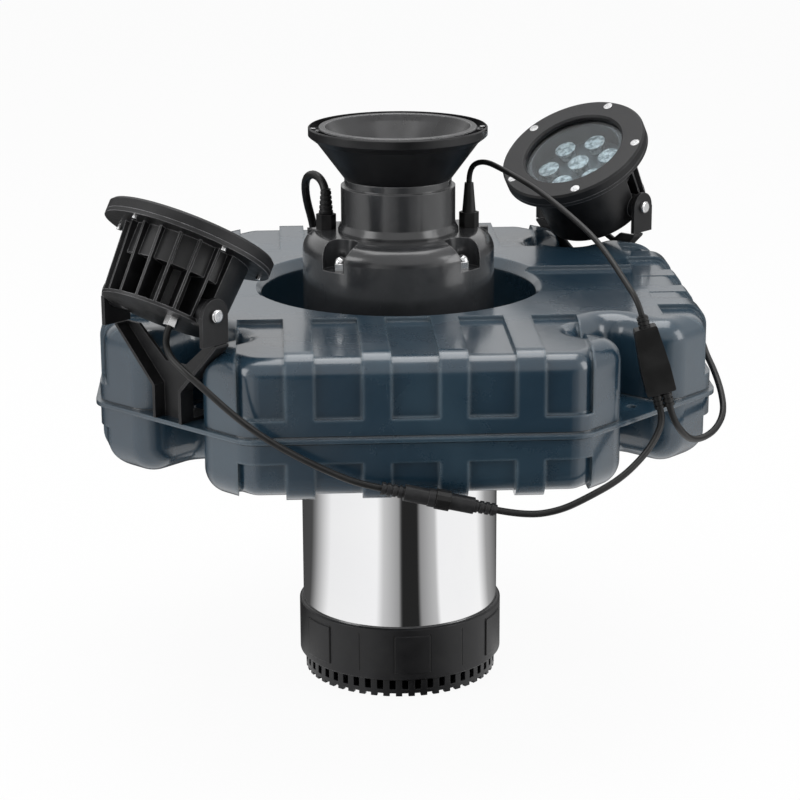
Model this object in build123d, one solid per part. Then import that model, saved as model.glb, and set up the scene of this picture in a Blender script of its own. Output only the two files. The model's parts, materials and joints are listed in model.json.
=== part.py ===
from build123d import *
import os
from math import cos, radians, sin, sqrt, tan

# Pond aerator: a submersible fountain pump hung in a square float, with two tilting lamps.
# The origin is on the pump's axis at the foot of the strainer. +Z runs up the axis.

# Clearances
SNUG = 0.1
RUNNING = 0.04
FACE_GAP = 0.3

# Strainer
FOOT_R = 93.3
FOOT_HEIGHT = 18.0
FOOT_WALL = 4.0
FLOOR_BOTTOM = 3.0
FLOOR_THICKNESS = 3.0
SLOT_COUNT = 48
SLOT_WIDTH = 6.0
SLOT_BOTTOM = 7.0
SLOT_HEIGHT = 9.5
BAND_R = 98.8
BAND_HEIGHT = 53.0
BAND_SOCKET = 9.0
BAND_EDGE = 1.5
PAD_COUNT = 6
PAD_ANGLE = 20.0
PAD_FIRST_ANGLE = 34.0
PAD_PROUD = 1.0
PAD_MARGIN = 8.0
LEDGE_WIDTH = 4.0

# Suction plate, jacket and motor
PLATE_THICKNESS = 4.0
EYE_R = 32.0
JACKET_R = 95.0
JACKET_WALL = 1.5
JACKET_LENGTH = 284.0
CAN_R = 72.0
CAN_WALL = 2.0
CAN_LENGTH = 214.0
LOWER_CAP_RISE = 34.0
LOWER_CAP_THICKNESS = 20.0
UPPER_CAP_THICKNESS = 14.0
CAP_ARM_WIDTH = 14.0
CAP_ARM_COUNT = 4
CAP_SPIGOT = 6.0
CAP_FLOOR = 5.0
STATOR_LENGTH = 126.0
STATOR_BORE_R = 35.2
STATOR_RISE = 36.0
STATOR_TEETH = 12
TOOTH_GAP = 3.0
WINDING_OUT_R = 62.0
WINDING_IN_R = 40.0
WINDING_LENGTH = 20.0
AIR_GAP = 0.5
SHAFT_R = 9.0
SHAFT_BELOW_CAP = 30.0
SHAFT_TIP = 4.0
BEARING_R = 23.5
BEARING_THICKNESS = 14.0
SEAL_R = 15.0
SEAL_THICKNESS = 3.6

# Impeller
IMPELLER_R = 64.0
IMPELLER_HEIGHT = 24.0
IMPELLER_PLATE = 3.0
HUB_R = 16.0
BLADE_COUNT = 6
BLADE_THICKNESS = 3.0
BLADE_HEIGHT = 17.0
BLADE_SWEEP = 28.0

# Upper housing
DOME_R = 91.0
DOME_HEIGHT = 92.0
DOME_SHOULDER_R = 18.0
DOME_WALL = 5.0
DOME_BORE_R = 48.0
DOME_FLANGE = 6.0
POCKET_R = 16.5
POCKET_DEPTH = 26.0
ROD_CIRCLE_R = 80.0
ROD_R = 4.0
ROD_COUNT = 4
ROD_THREAD = 6.0
NUT_R = 7.4
NUT_HEIGHT = 7.0
NUT_CAP_R = 6.0
GLAND_X = 68.0
GLAND_Y = 10.0
GLAND_NUT_R = 9.5
GLAND_NUT_HEIGHT = 14.0
GLAND_HOLE_R = 6.0
GLAND_SPIGOT = 5.0
POWER_SLEEVE_LENGTH = 10.0
LIGHT_SLEEVE_LENGTH = 28.0
SLEEVE_FOOT_R = 6.5
SLEEVE_TIP_R = 5.0
LIGHT_SLEEVE_TIP_R = 4.2
LUG_LENGTH = 8.0
LUG_HEIGHT = 7.0
LUG_SETBACK = 14.0

# Outlet and nozzle
COLLAR_R = 54.1
COLLAR_FLARE = 3.0
COLLAR_FLARE_HEIGHT = 4.0
COLLAR_HEIGHT = 43.0
COLLAR_BORE_R = 47.5
NECK_R = 50.7
NECK_HEIGHT = 7.0
CONE_SKIRT = 16.0
CONE_WALL = 2.8
CONE_TOP_R = 76.7
CONE_HEIGHT = 39.0
RIM_R = 84.3
RIM_HEIGHT = 10.0
RIM_LIP = 1.5
RIM_FLARE = 4.0
SHELF_RISE = 3.5
INNER_RIM_R = 74.6
INNER_MOUTH_R = 68.6
INNER_FOOT_R = 38.0
INNER_DEPTH = 46.0
INNER_WALL = 2.5
INNER_LIP = 4.0
TAB_COUNT = 4
TAB_WIDTH = 9.0
TAB_THICKNESS = 3.0
TAB_SCREW_R = 1.5
TAB_SCREW_HEAD_R = 2.8
TAB_SCREW_HEAD = 2.2

# Float
FLOAT_HALF = 277.0
FLOAT_CORNER_LEG = 132.0
FLOAT_TOP = 388.0
SEAM_HEIGHT = 314.0
FLOAT_BOTTOM = 255.0
CORNER_R = 28.0
TOP_EDGE_R = 20.0
BOTTOM_EDGE_R = 24.0
NOTCH_WIDTH = 52.0
NOTCH_DEPTH = 66.0
NOTCH_MOUTH_R = 26.0
NOTCH_END_R = 14.0
WELL_R = 131.0
WELL_EDGE_R = 10.0
LEDGE_R = 116.0
LEDGE_DROP = 88.0
FLANGE_PROUD = 4.0
FLANGE_THICKNESS = 4.0
RIB_DEPTH = 4.5
RECESS_WIDTH = 41.0
RECESS_PITCH = 66.0
RECESS_COUNT = 5
RECESS_LONG_REACH = 134.0
RECESS_SHORT_REACH = 46.0
RECESS_ABOVE_SEAM = 18.0
RECESS_BELOW_SEAM = 21.0
CHANNEL_WIDTH = 102.0
CHANNEL_DEPTH = 4.0
WEB_HOLE_RADIUS_OUT = 278.0
WEB_HOLE_R = 4.5
SEAT_CLEARANCE = 1.0

# Ring that hangs the pump in the float
RING_WALL = 3.0
RING_HEIGHT = 26.0
RING_ARM_COUNT = 4
RING_ARM_WIDTH = 30.0
RING_ARM_THICKNESS = 3.0
RING_ARM_END_R = 129.0
RING_BOLT_CIRCLE_R = 122.5
RING_BOLT_R = 3.0
RING_BOLT_DEPTH = 22.0
RING_BOLT_HEAD_R = 5.5
RING_BOLT_HEAD = 4.5

# Lamp, in its own frame: the tilt axis is X, the beam is +Z
LAMP_PIVOT_OUT = 302.6
LAMP_PIVOT_HEIGHT = 421.0
LAMP_TILT = 32.0
BEZEL_R = 76.0
BEZEL_BACK = 58.5
BEZEL_THICKNESS = 10.0
BEZEL_OPENING_R = 51.7
BEZEL_LIP = 5.4
BEZEL_EDGE = 2.0
LAMP_FLANGE = 4.0
BEZEL_SCREW_COUNT = 5
BEZEL_SCREW_CIRCLE_R = 68.5
BEZEL_SCREW_R = 2.4
BEZEL_SCREW_HEAD_R = 4.6
BEZEL_SCREW_HEAD = 2.4
BEZEL_SCREW_TAIL = 3.0
BEZEL_SCREW_ANGLE = 18.0
GLASS_R = 58.0
GLASS_THICKNESS = 3.6
GASKET_WIDTH = 5.0
LAMP_BODY_TOP_R = 57.0
LAMP_BODY_REAR_R = 53.0
LAMP_REAR = -11.0
LAMP_REAR_PLATE = 3.0
LAMP_CORE_R = 30.0
LAMP_CUP_R = 50.5
LAMP_CUP_WALL = 3.5
LAMP_CUP_FLOOR = 27.0
LAMP_CUP_FLOOR_THICKNESS = 4.0
FIN_COUNT = 9
FIN_THICKNESS = 2.4
FIN_ARC = 150.0
FIN_CORNER_R = 8.0
BOSS_R = 12.0
BOSS_REACH = 59.4
BOSS_ROOT = 44.0
LED_BOARD_THICKNESS = 2.0
LED_BOARD_RISE = 4.0
LENS_R = 11.0
LENS_FOOT_R = 8.0
LENS_HEIGHT = 11.0
LENS_PITCH = 32.0
LENS_COUNT = 6
PIVOT_SCREW_R = 4.0
PIVOT_SCREW_HEAD_R = 6.2
PIVOT_SCREW_HEAD = 4.0
PIVOT_SCREW_INSIDE = 12.0
LAMP_GLAND_X = -27.0
LAMP_GLAND_Y = 10.0
LAMP_GLAND_R = 6.2
LAMP_GLAND_LENGTH = 9.0

# Lamp bracket
BRACKET_SHEET = 3.0
BRACKET_PLATE_IN = 14.6
LEG_WIDTH = 36.0
LEG_FLANGE = 15.0
LEG_SHOULDER = 345.0
ARM_OUT_HEIGHT = 392.0
ARM_TOP = 394.0
ARM_INNER_X = 46.0
VALLEY_HEIGHT = 366.0
VALLEY_X = 12.0
EAR_IN_X = 60.0
EAR_THICKNESS = 4.0
EAR_WIDTH = 30.0
EAR_DROP = 26.0
FOOT_REACH = 24.0
BRACKET_BOLT_R = 4.0
BRACKET_BOLT_HEAD_R = 7.5
BRACKET_BOLT_HEAD = 5.5
BRACKET_NUT_HEIGHT = 6.5

# Cords
LIGHT_LEAD_DIAMETER = 5.2
LAMP_CORD_DIAMETER = 6.0
POWER_CORD_DIAMETER = 8.0
ARC_SHARE = 0.45
SPLITTER_CENTRE = (208.6, -236.0, 369.2)
SPLITTER_TILT = -15.0
SPLITTER_LENGTH = 61.0
SPLITTER_TOP_WIDTH = 20.0
SPLITTER_WIDTH = 26.0
SPLITTER_WAIST = 8.0
SPLITTER_THICKNESS = 12.0
SPLITTER_TOP_GROMMET = 10.5
SPLITTER_LOWER_GROMMET = 13.5
SPLITTER_GROMMET_R = 5.2
SPLITTER_OUTLET_OFFSET = 4.4
PLUG_RIB_LENGTH = 20.0
PLUG_RIB_R = 5.6
PLUG_BODY_LENGTH = 21.0
PLUG_BODY_R = 7.3
PLUG_RING_LENGTH = 6.0
PLUG_RING_R = 8.0
PLUG_SPIGOT_R = 5.2
COUPLING_LENGTH = 12.5
COUPLING_R = 9.0
COUPLING_SIDES = 14
LEFT_PAIR_START = (-30.4, -287.0, 273.9)
LEFT_PAIR_END = (68.4, -287.0, 251.9)
RIGHT_PAIR_START = (286.8, 81.0, 341.0)
RIGHT_PAIR_END = (286.8, -20.0, 334.0)
COIL_CENTRE = (10.0, 225.0)
COIL_R = 72.0
COIL_BUILD = 40.0
PLUG_CENTRE_BACK = 12.0
COIL_EXIT_ANGLE = 246.0
COIL_EXIT_HEIGHT = 20.0
MAINS_BODY = (38.0, 34.0, 24.0)
MAINS_PIN_R = 2.0
MAINS_PIN_LENGTH = 18.0
MAINS_PIN_SPACING = 19.0
MAINS_RELIEF_R = 5.0

# Heights that follow from the sizes above
band_top = FOOT_HEIGHT + BAND_HEIGHT
jacket_bottom = band_top - BAND_SOCKET
jacket_top = jacket_bottom + JACKET_LENGTH
jacket_in_r = JACKET_R - JACKET_WALL
plate_r = jacket_in_r - JACKET_WALL
plate_bottom = jacket_bottom - PLATE_THICKNESS
lower_cap_bottom = jacket_bottom + LOWER_CAP_RISE
can_bottom = lower_cap_bottom + LOWER_CAP_THICKNESS
can_top = can_bottom + CAN_LENGTH
upper_cap_top = can_top + UPPER_CAP_THICKNESS
can_in_r = CAN_R - CAN_WALL
stator_bottom = can_bottom + STATOR_RISE
stator_top = stator_bottom + STATOR_LENGTH
dome_top = jacket_top + DOME_HEIGHT
pocket_floor = dome_top - POCKET_DEPTH
collar_top = dome_top + COLLAR_HEIGHT
neck_top = collar_top + NECK_HEIGHT
cone_top = neck_top + CONE_HEIGHT
rim_top = cone_top + RIM_HEIGHT
shelf_height = cone_top + SHELF_RISE
ledge_height = FLOAT_TOP - LEDGE_DROP
web_top = SEAM_HEIGHT + FLANGE_THICKNESS / 2
web_bottom = SEAM_HEIGHT - FLANGE_THICKNESS / 2
bezel_front = BEZEL_BACK + BEZEL_THICKNESS
coil_height = COIL_BUILD

UPRIGHT = (Align.CENTER, Align.CENTER, Align.MIN)


def disc(radius, bottom, top):
    """A round disc about the pump axis."""
    return Pos(0, 0, bottom) * Cylinder(radius, top - bottom, align=UPRIGHT)


def ring(outer, inner, bottom, top):
    """A plain ring about the pump axis."""
    return disc(outer, bottom, top) - disc(inner, bottom, top)


def turned(points):
    """A solid of revolution from a closed outline of radius and height."""
    outline = Polyline(*[(radius, 0, height) for radius, height in points], close=True)
    return revolve(make_face(outline), Axis.Z)


def block(x_low, x_high, y_low, y_high, z_low, z_high):
    """A box between two corners."""
    middle = Pos((x_low + x_high) / 2, (y_low + y_high) / 2, (z_low + z_high) / 2)
    return middle * Box(x_high - x_low, y_high - y_low, z_high - z_low)


def around(count, first=0.0):
    """Turns about the pump axis, evenly spaced."""
    return [Rot(0, 0, first + 360.0 * index / count) for index in range(count)]


def wedge(radius, angle, bottom, top):
    """A pie slice centred on +X."""
    half = radians(angle / 2)
    reach = radius / cos(half)
    corners = [(0, 0), (reach * cos(half), -reach * sin(half)), (reach * cos(half), reach * sin(half))]
    return Pos(0, 0, bottom) * extrude(make_face(Polyline(*corners, close=True)), top - bottom)


def strainer_base():
    """Slotted foot and plain band of the strainer, with a socket for the jacket."""
    foot_in = FOOT_R - FOOT_WALL
    ledge_in = plate_r - LEDGE_WIDTH
    floor_top = FLOOR_BOTTOM + FLOOR_THICKNESS
    body = turned([
        (FOOT_R, 0), (FOOT_R, FOOT_HEIGHT), (BAND_R - BAND_EDGE, FOOT_HEIGHT),
        (BAND_R, FOOT_HEIGHT + BAND_EDGE), (BAND_R, band_top - BAND_EDGE), (BAND_R - BAND_EDGE, band_top),
        (JACKET_R + SNUG, band_top), (JACKET_R + SNUG, jacket_bottom),
        (plate_r + SNUG, jacket_bottom), (plate_r + SNUG, plate_bottom),
        (ledge_in, plate_bottom), (ledge_in, FOOT_HEIGHT), (foot_in, FOOT_HEIGHT),
        (foot_in, floor_top), (0, floor_top), (0, FLOOR_BOTTOM), (foot_in, FLOOR_BOTTOM), (foot_in, 0),
    ])
    slot = block(foot_in - 1, FOOT_R + 1, -SLOT_WIDTH / 2, SLOT_WIDTH / 2, SLOT_BOTTOM, SLOT_BOTTOM + SLOT_HEIGHT)
    tooth_gap = block(foot_in - 1, FOOT_R + 1, -SLOT_WIDTH / 2, SLOT_WIDTH / 2, -1, FLOOR_BOTTOM)
    body -= [turn * slot for turn in around(SLOT_COUNT)]
    body -= [turn * tooth_gap for turn in around(SLOT_COUNT)]
    pad = ring(BAND_R + PAD_PROUD, BAND_R - PAD_PROUD, FOOT_HEIGHT + PAD_MARGIN, band_top - PAD_MARGIN)
    pad &= wedge(BAND_R + 2 * PAD_PROUD, PAD_ANGLE, FOOT_HEIGHT, band_top)
    return body + [turn * pad for turn in around(PAD_COUNT, PAD_FIRST_ANGLE)]


def rod_places(first=45.0):
    """Turns that carry something on the tie rods' circle."""
    return [turn * Pos(ROD_CIRCLE_R, 0, 0) for turn in around(ROD_COUNT, first)]


def suction_plate():
    """Plate under the impeller, with the suction eye and the tie rods' threads."""
    plate = ring(plate_r, EYE_R, plate_bottom, jacket_bottom)
    return plate - [place * disc(ROD_R + RUNNING, plate_bottom, jacket_bottom) for place in rod_places()]


def outer_jacket():
    """Polished steel tube round the motor."""
    return ring(JACKET_R, jacket_in_r, jacket_bottom, jacket_top)


def cap_arms(bottom, top):
    """Arms that centre a motor cap in the jacket and leave the water path open."""
    arm = block(CAN_R - 2, JACKET_R, -CAP_ARM_WIDTH / 2, CAP_ARM_WIDTH / 2, bottom, top)
    arms = Part() + [turn * arm for turn in around(CAP_ARM_COUNT)]
    return arms & disc(jacket_in_r - SNUG, bottom, top)


def lower_end_cap():
    """Lower motor cap with its bearing seat and the seal's opening."""
    cap = disc(CAN_R, lower_cap_bottom, can_bottom) + disc(can_in_r - SNUG, can_bottom, can_bottom + CAP_SPIGOT)
    cap -= disc(SHAFT_R + 1, lower_cap_bottom, can_bottom)
    cap -= disc(BEARING_R + RUNNING, lower_cap_bottom + CAP_FLOOR, can_bottom + CAP_SPIGOT)
    return cap + cap_arms(lower_cap_bottom, can_bottom)


def upper_end_cap():
    """Upper motor cap, closed above its bearing seat."""
    cap = disc(CAN_R, can_top, upper_cap_top) + disc(can_in_r - SNUG, can_top - CAP_SPIGOT, can_top)
    cap -= disc(BEARING_R + RUNNING, can_top - CAP_SPIGOT, upper_cap_top - CAP_FLOOR)
    return cap + cap_arms(can_top, upper_cap_top)


def motor_can():
    """Dry tube that holds the stator."""
    return ring(CAN_R, can_in_r, can_bottom, can_top)


def stator_core():
    """Laminated stator pack with open winding slots."""
    core = ring(can_in_r - SNUG, STATOR_BORE_R, stator_bottom, stator_top)
    slot = block(STATOR_BORE_R - 1, WINDING_OUT_R - 6, -TOOTH_GAP / 2, TOOTH_GAP / 2, stator_bottom, stator_top)
    return core - [turn * slot for turn in around(STATOR_TEETH)]


def stator_windings():
    """Winding heads at both ends of the stator."""
    lower = ring(WINDING_OUT_R, WINDING_IN_R, stator_bottom - WINDING_LENGTH, stator_bottom)
    upper = ring(WINDING_OUT_R, WINDING_IN_R, stator_top, stator_top + WINDING_LENGTH)
    return Compound(children=[lower, upper])


def bearing_levels():
    """Bottoms of the lower and the upper bearing."""
    return (lower_cap_bottom + CAP_FLOOR, upper_cap_top - CAP_FLOOR - BEARING_THICKNESS)


def bearings():
    """The two shaft bearings, seated in the motor caps."""
    return Compound(children=[
        ring(BEARING_R, SHAFT_R + RUNNING, level, level + BEARING_THICKNESS) for level in bearing_levels()
    ])


def shaft():
    """Motor shaft, from the impeller to the upper bearing."""
    top = bearing_levels()[1] + BEARING_THICKNESS - FACE_GAP
    return disc(SHAFT_R, lower_cap_bottom - SHAFT_BELOW_CAP, top)


def rotor_core():
    """Rotor pack on the shaft."""
    return ring(STATOR_BORE_R - AIR_GAP, SHAFT_R + RUNNING, stator_bottom - 1, stator_top + 1)


def impeller():
    """Open impeller with swept blades under its back plate."""
    top = lower_cap_bottom - SEAL_THICKNESS - FACE_GAP
    bottom = top - IMPELLER_HEIGHT
    wheel = disc(HUB_R, bottom, top) + disc(IMPELLER_R, top - IMPELLER_PLATE, top)
    length = IMPELLER_R - HUB_R
    blade_low = top - IMPELLER_PLATE - BLADE_HEIGHT
    blade = Pos(HUB_R - 3, 0, 0) * Rot(0, 0, BLADE_SWEEP) * block(
        0, length, -BLADE_THICKNESS / 2, BLADE_THICKNESS / 2, blade_low, top - IMPELLER_PLATE)
    wheel += [turn * blade for turn in around(BLADE_COUNT)]
    return wheel - disc(SHAFT_R + RUNNING, bottom, top)


def seal_ring():
    """Turning half of the shaft seal, between impeller and lower cap."""
    return ring(SEAL_R, SHAFT_R + RUNNING, lower_cap_bottom - SEAL_THICKNESS, lower_cap_bottom - FACE_GAP)


def tie_rods():
    """Rods that draw the upper housing down on the jacket."""
    return Compound(children=[
        place * disc(ROD_R, plate_bottom, pocket_floor + ROD_THREAD) for place in rod_places()
    ])


def dome_nuts():
    """Domed nuts in the pockets of the upper housing."""
    nut = Pos(0, 0, pocket_floor) * extrude(RegularPolygon(NUT_R, 6), NUT_HEIGHT)
    nut += Pos(0, 0, pocket_floor + NUT_HEIGHT) * (Sphere(NUT_CAP_R) & disc(NUT_CAP_R, 0, NUT_CAP_R))
    nut -= disc(ROD_R + RUNNING, pocket_floor, pocket_floor + ROD_THREAD + 1)
    return Compound(children=[place * nut for place in rod_places()])


def gland_places():
    """Feet of the power gland and the light gland on the shoulder."""
    return (Pos(-GLAND_X, GLAND_Y, dome_top), Pos(GLAND_X, GLAND_Y, dome_top))


def dome_housing():
    """Upper pump housing: a round shoulder with four nut pockets, hollow for the water."""
    shell = disc(DOME_R, jacket_top, dome_top)
    shell = fillet(shell.edges().group_by(Axis.Z)[-1], DOME_SHOULDER_R)
    shell += disc(JACKET_R, jacket_top, jacket_top + DOME_FLANGE)
    hollow = disc(DOME_R - DOME_WALL, jacket_top, dome_top - DOME_WALL)
    hollow = fillet(hollow.edges().group_by(Axis.Z)[-1], DOME_SHOULDER_R - DOME_WALL)
    column = disc(ROD_R + DOME_WALL, jacket_top, pocket_floor) + disc(
        POCKET_R + DOME_WALL, pocket_floor - DOME_WALL, dome_top)
    hollow -= [place * column for place in rod_places()]
    shell -= hollow
    shell -= disc(DOME_BORE_R, dome_top - DOME_WALL - 1, dome_top)
    lug = block(0, LUG_LENGTH, -LUG_LENGTH / 2, LUG_LENGTH / 2, -LUG_HEIGHT, 0)
    for place, outward in zip(gland_places(), (180, 0)):
        boss = place * disc(GLAND_NUT_R + 2, -DOME_WALL - 6, 0)
        shell += boss
        shell += place * Rot(0, 0, outward) * Pos(LUG_SETBACK - LUG_LENGTH / 2, 0, 0) * lug
        shell -= place * disc(GLAND_HOLE_R, -DOME_WALL - 12, 0)
    pocket = disc(POCKET_R, pocket_floor, dome_top + 1)
    rod_hole = disc(ROD_R + SNUG, jacket_top, pocket_floor)
    shell -= [place * pocket for place in rod_places()]
    shell -= [place * rod_hole for place in rod_places()]
    return shell


def gland(place, sleeve_length, sleeve_tip_r, cord_diameter):
    """Gland nut with its spigot, and the tapered rubber sleeve on it."""
    nut = extrude(RegularPolygon(GLAND_NUT_R, 6), GLAND_NUT_HEIGHT)
    nut += disc(GLAND_HOLE_R - SNUG, -GLAND_SPIGOT, 0)
    sleeve = Pos(0, 0, GLAND_NUT_HEIGHT + sleeve_length / 2) * Cone(SLEEVE_FOOT_R, sleeve_tip_r, sleeve_length)
    whole = nut + sleeve
    whole -= disc(cord_diameter / 2 + SNUG, -GLAND_SPIGOT, 0)
    return place * whole


def power_gland():
    """Gland of the mains cord on the left of the shoulder."""
    return gland(gland_places()[0], POWER_SLEEVE_LENGTH, SLEEVE_TIP_R, POWER_CORD_DIAMETER)


def light_gland():
    """Gland of the lamps' lead on the right of the shoulder."""
    return gland(gland_places()[1], LIGHT_SLEEVE_LENGTH, LIGHT_SLEEVE_TIP_R, LIGHT_LEAD_DIAMETER)


def outlet_collar():
    """Round outlet with a flared foot and a neck for the nozzle."""
    flare_r = COLLAR_R + COLLAR_FLARE
    return turned([
        (flare_r, dome_top), (flare_r, dome_top + COLLAR_FLARE_HEIGHT / 2),
        (COLLAR_R, dome_top + 2 * COLLAR_FLARE_HEIGHT), (COLLAR_R, collar_top),
        (NECK_R, collar_top), (NECK_R, neck_top), (COLLAR_BORE_R, neck_top), (COLLAR_BORE_R, dome_top),
    ])


def nozzle_outer_cone():
    """Outer cone of the fountain head, with a shelf and a rolled rim."""
    skirt_r = COLLAR_BORE_R - SNUG
    rim_in = RIM_R - RIM_LIP
    return turned([
        (skirt_r, neck_top - CONE_SKIRT), (skirt_r, neck_top), (NECK_R, neck_top),
        (CONE_TOP_R, cone_top - RIM_FLARE), (RIM_R - 1, cone_top + 1), (RIM_R, cone_top + 2),
        (RIM_R, rim_top - 1), (RIM_R - 1, rim_top), (rim_in, rim_top), (rim_in, shelf_height),
        (CONE_TOP_R, shelf_height), (CONE_TOP_R - CONE_WALL, cone_top - RIM_FLARE),
        (NECK_R - CONE_WALL, neck_top + 1), (skirt_r - CONE_WALL, neck_top),
        (skirt_r - CONE_WALL, neck_top - CONE_SKIRT),
    ])


def tab_places():
    """Turns of the inner cone's fixing tabs."""
    return around(TAB_COUNT)


def tab_screw_place():
    """Centre of a tab's screw, on the shelf of the outer cone."""
    return Pos((CONE_TOP_R + RIM_R - RIM_LIP) / 2, 0, shelf_height)


def nozzle_inner_cone():
    """Closed inner cone that leaves the ring-shaped spray gap, held by tabs on the shelf."""
    foot_height = rim_top - INNER_DEPTH
    lip_height = rim_top - INNER_LIP
    cone = turned([
        (0, foot_height), (INNER_FOOT_R, foot_height),
        (INNER_MOUTH_R + INNER_WALL - INNER_LIP, lip_height - 2), (INNER_RIM_R, lip_height),
        (INNER_RIM_R, rim_top - 1), (INNER_RIM_R - 1, rim_top), (INNER_MOUTH_R, rim_top),
        (INNER_MOUTH_R - INNER_LIP, lip_height - 2), (INNER_FOOT_R - INNER_WALL, foot_height + INNER_WALL),
        (0, foot_height + INNER_WALL),
    ])
    reach = RIM_R - RIM_LIP - SNUG
    tab = block(INNER_MOUTH_R - 1, reach, -TAB_WIDTH / 2, TAB_WIDTH / 2, shelf_height, shelf_height + TAB_THICKNESS)
    tab &= disc(reach, shelf_height, shelf_height + TAB_THICKNESS)
    hole = tab_screw_place() * disc(TAB_SCREW_R + SNUG, 0, TAB_THICKNESS)
    return cone + [turn * (tab - hole) for turn in tab_places()]


def nozzle_screws():
    """Screws that hold the inner cone's tabs."""
    screw = tab_screw_place() * (
        disc(TAB_SCREW_R, 0, TAB_THICKNESS) + disc(
            TAB_SCREW_HEAD_R, TAB_THICKNESS, TAB_THICKNESS + TAB_SCREW_HEAD))
    return Compound(children=[turn * screw for turn in tab_places()])


def float_plan(inset):
    """Plan of the float's wall, set in by an amount: a square with cut corners and four notches."""
    half = FLOAT_HALF - inset
    leg = FLOAT_CORNER_LEG - (2 - sqrt(2)) * inset
    near = half - leg
    corners = [(half, near), (near, half), (-near, half), (-half, near),
               (-half, -near), (-near, -half), (near, -half), (half, -near)]
    plan = make_face(Polyline(*corners, close=True))
    plan = fillet(plan.vertices(), CORNER_R - inset)
    mouth = (2 * half - leg) / sqrt(2)
    inner_end = (2 * FLOAT_HALF - FLOAT_CORNER_LEG) / sqrt(2) - NOTCH_DEPTH - inset
    width = NOTCH_WIDTH + 2 * inset
    slot = Pos((inner_end + mouth + width) / 2, 0) * Rectangle(mouth + width - inner_end, width)
    slot = fillet(slot.vertices().group_by(Axis.X)[0], NOTCH_END_R + inset)
    plan -= [Rot(0, 0, 45 + 90 * index) * slot for index in range(4)]
    mouth_corner = sqrt(mouth ** 2 + (width / 2) ** 2)
    at_mouth = [v for v in plan.vertices() if abs((v.X ** 2 + v.Y ** 2) ** 0.5 - mouth_corner) < 0.5]
    return fillet(at_mouth, NOTCH_MOUTH_R - inset)


def float_block(inset):
    """The float's moulded body without its well, set in by an amount all over."""
    bottom = FLOAT_BOTTOM + inset
    top = FLOAT_TOP - inset
    body = Pos(0, 0, bottom) * extrude(float_plan(inset), top - bottom)
    body = fillet(body.edges().group_by(Axis.Z)[-1], TOP_EDGE_R - inset)
    return fillet(body.edges().group_by(Axis.Z)[0], BOTTOM_EDGE_R - inset)


def recess_boxes():
    """Boxes over every recessed panel between the ribs."""
    boxes = []
    outside = FLOAT_HALF + 2 * FLANGE_PROUD
    for side in range(4):
        reach = RECESS_SHORT_REACH if side % 2 else RECESS_LONG_REACH
        for index in range(RECESS_COUNT):
            middle = RECESS_PITCH * (index - (RECESS_COUNT - 1) / 2)
            low = middle - RECESS_WIDTH / 2
            high = middle + RECESS_WIDTH / 2
            turn = Rot(0, 0, 90 * side)
            upper = block(low, high, -outside, -(FLOAT_HALF - reach), SEAM_HEIGHT + RECESS_ABOVE_SEAM, FLOAT_TOP + 1)
            lower = block(low, high, -outside, -(FLOAT_HALF - RECESS_SHORT_REACH),
                          FLOAT_BOTTOM - 1, SEAM_HEIGHT - RECESS_BELOW_SEAM)
            boxes += [turn * upper, turn * lower]
    return boxes


def seam_flange():
    """Flash flange round the seam, which also bridges the notches as a web."""
    half = FLOAT_HALF + FLANGE_PROUD
    near = half - FLOAT_CORNER_LEG - (2 - sqrt(2)) * FLANGE_PROUD
    corners = [(half, near), (near, half), (-near, half), (-half, near),
               (-half, -near), (-near, -half), (near, -half), (half, -near)]
    plan = make_face(Polyline(*corners, close=True))
    plan = fillet(plan.vertices(), CORNER_R)
    return Pos(0, 0, web_bottom) * extrude(plan, FLANGE_THICKNESS)


def fork_seat(side):
    """Relief in the float's corner behind a lamp bracket's fork."""
    out_x = EAR_IN_X + EAR_THICKNESS + SEAT_CLEARANCE
    low_x = LEG_WIDTH / 2 + SEAT_CLEARANCE
    back = LAMP_PIVOT_OUT - BRACKET_PLATE_IN - SEAT_CLEARANCE
    right_edge = [(low_x, LEG_SHOULDER - SEAT_CLEARANCE), (out_x, ARM_OUT_HEIGHT - SEAT_CLEARANCE),
                  (out_x, ARM_OUT_HEIGHT)]
    left_edge = [(-x, z) for x, z in reversed(right_edge)]
    outline = make_face(Polyline(*[(x, back, z) for x, z in right_edge + left_edge], close=True))
    return lamp_side(side) * extrude(outline, EAR_WIDTH, dir=(0, 1, 0))


def float_body():
    """Blow-moulded float: ribbed all round, notched at the corners, with a stepped well."""
    body = float_block(RIB_DEPTH) + (float_block(0) - recess_boxes())
    body += seam_flange()
    body -= [fork_seat("left"), fork_seat("right")]
    for side in (-1, 1):
        near, far = sorted((side * (WELL_R - WELL_EDGE_R), side * (FLOAT_HALF + 1)))
        body -= block(near, far, -CHANNEL_WIDTH / 2, CHANNEL_WIDTH / 2, FLOAT_TOP - CHANNEL_DEPTH, FLOAT_TOP + 1)
    well = disc(WELL_R, ledge_height, FLOAT_TOP + 1) + disc(LEDGE_R, FLOAT_BOTTOM - 1, ledge_height)
    edge_top = FLOAT_TOP - CHANNEL_DEPTH
    body -= well
    body -= turned([(WELL_R - 1, edge_top - WELL_EDGE_R / 2), (WELL_R, edge_top - WELL_EDGE_R / 2),
                    (WELL_R + WELL_EDGE_R, FLOAT_TOP + 1), (WELL_R - 1, FLOAT_TOP + 1)])
    body -= [turn * Pos(WEB_HOLE_RADIUS_OUT, 0, 0) * disc(WEB_HOLE_R, web_bottom, web_top)
             for turn in around(4, 45)]
    body -= [turn * Pos(RING_BOLT_CIRCLE_R, 0, 0) * disc(
        RING_BOLT_R + SNUG, ledge_height - RING_BOLT_DEPTH - 1, ledge_height)
        for turn in around(RING_ARM_COUNT)]
    return body


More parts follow.
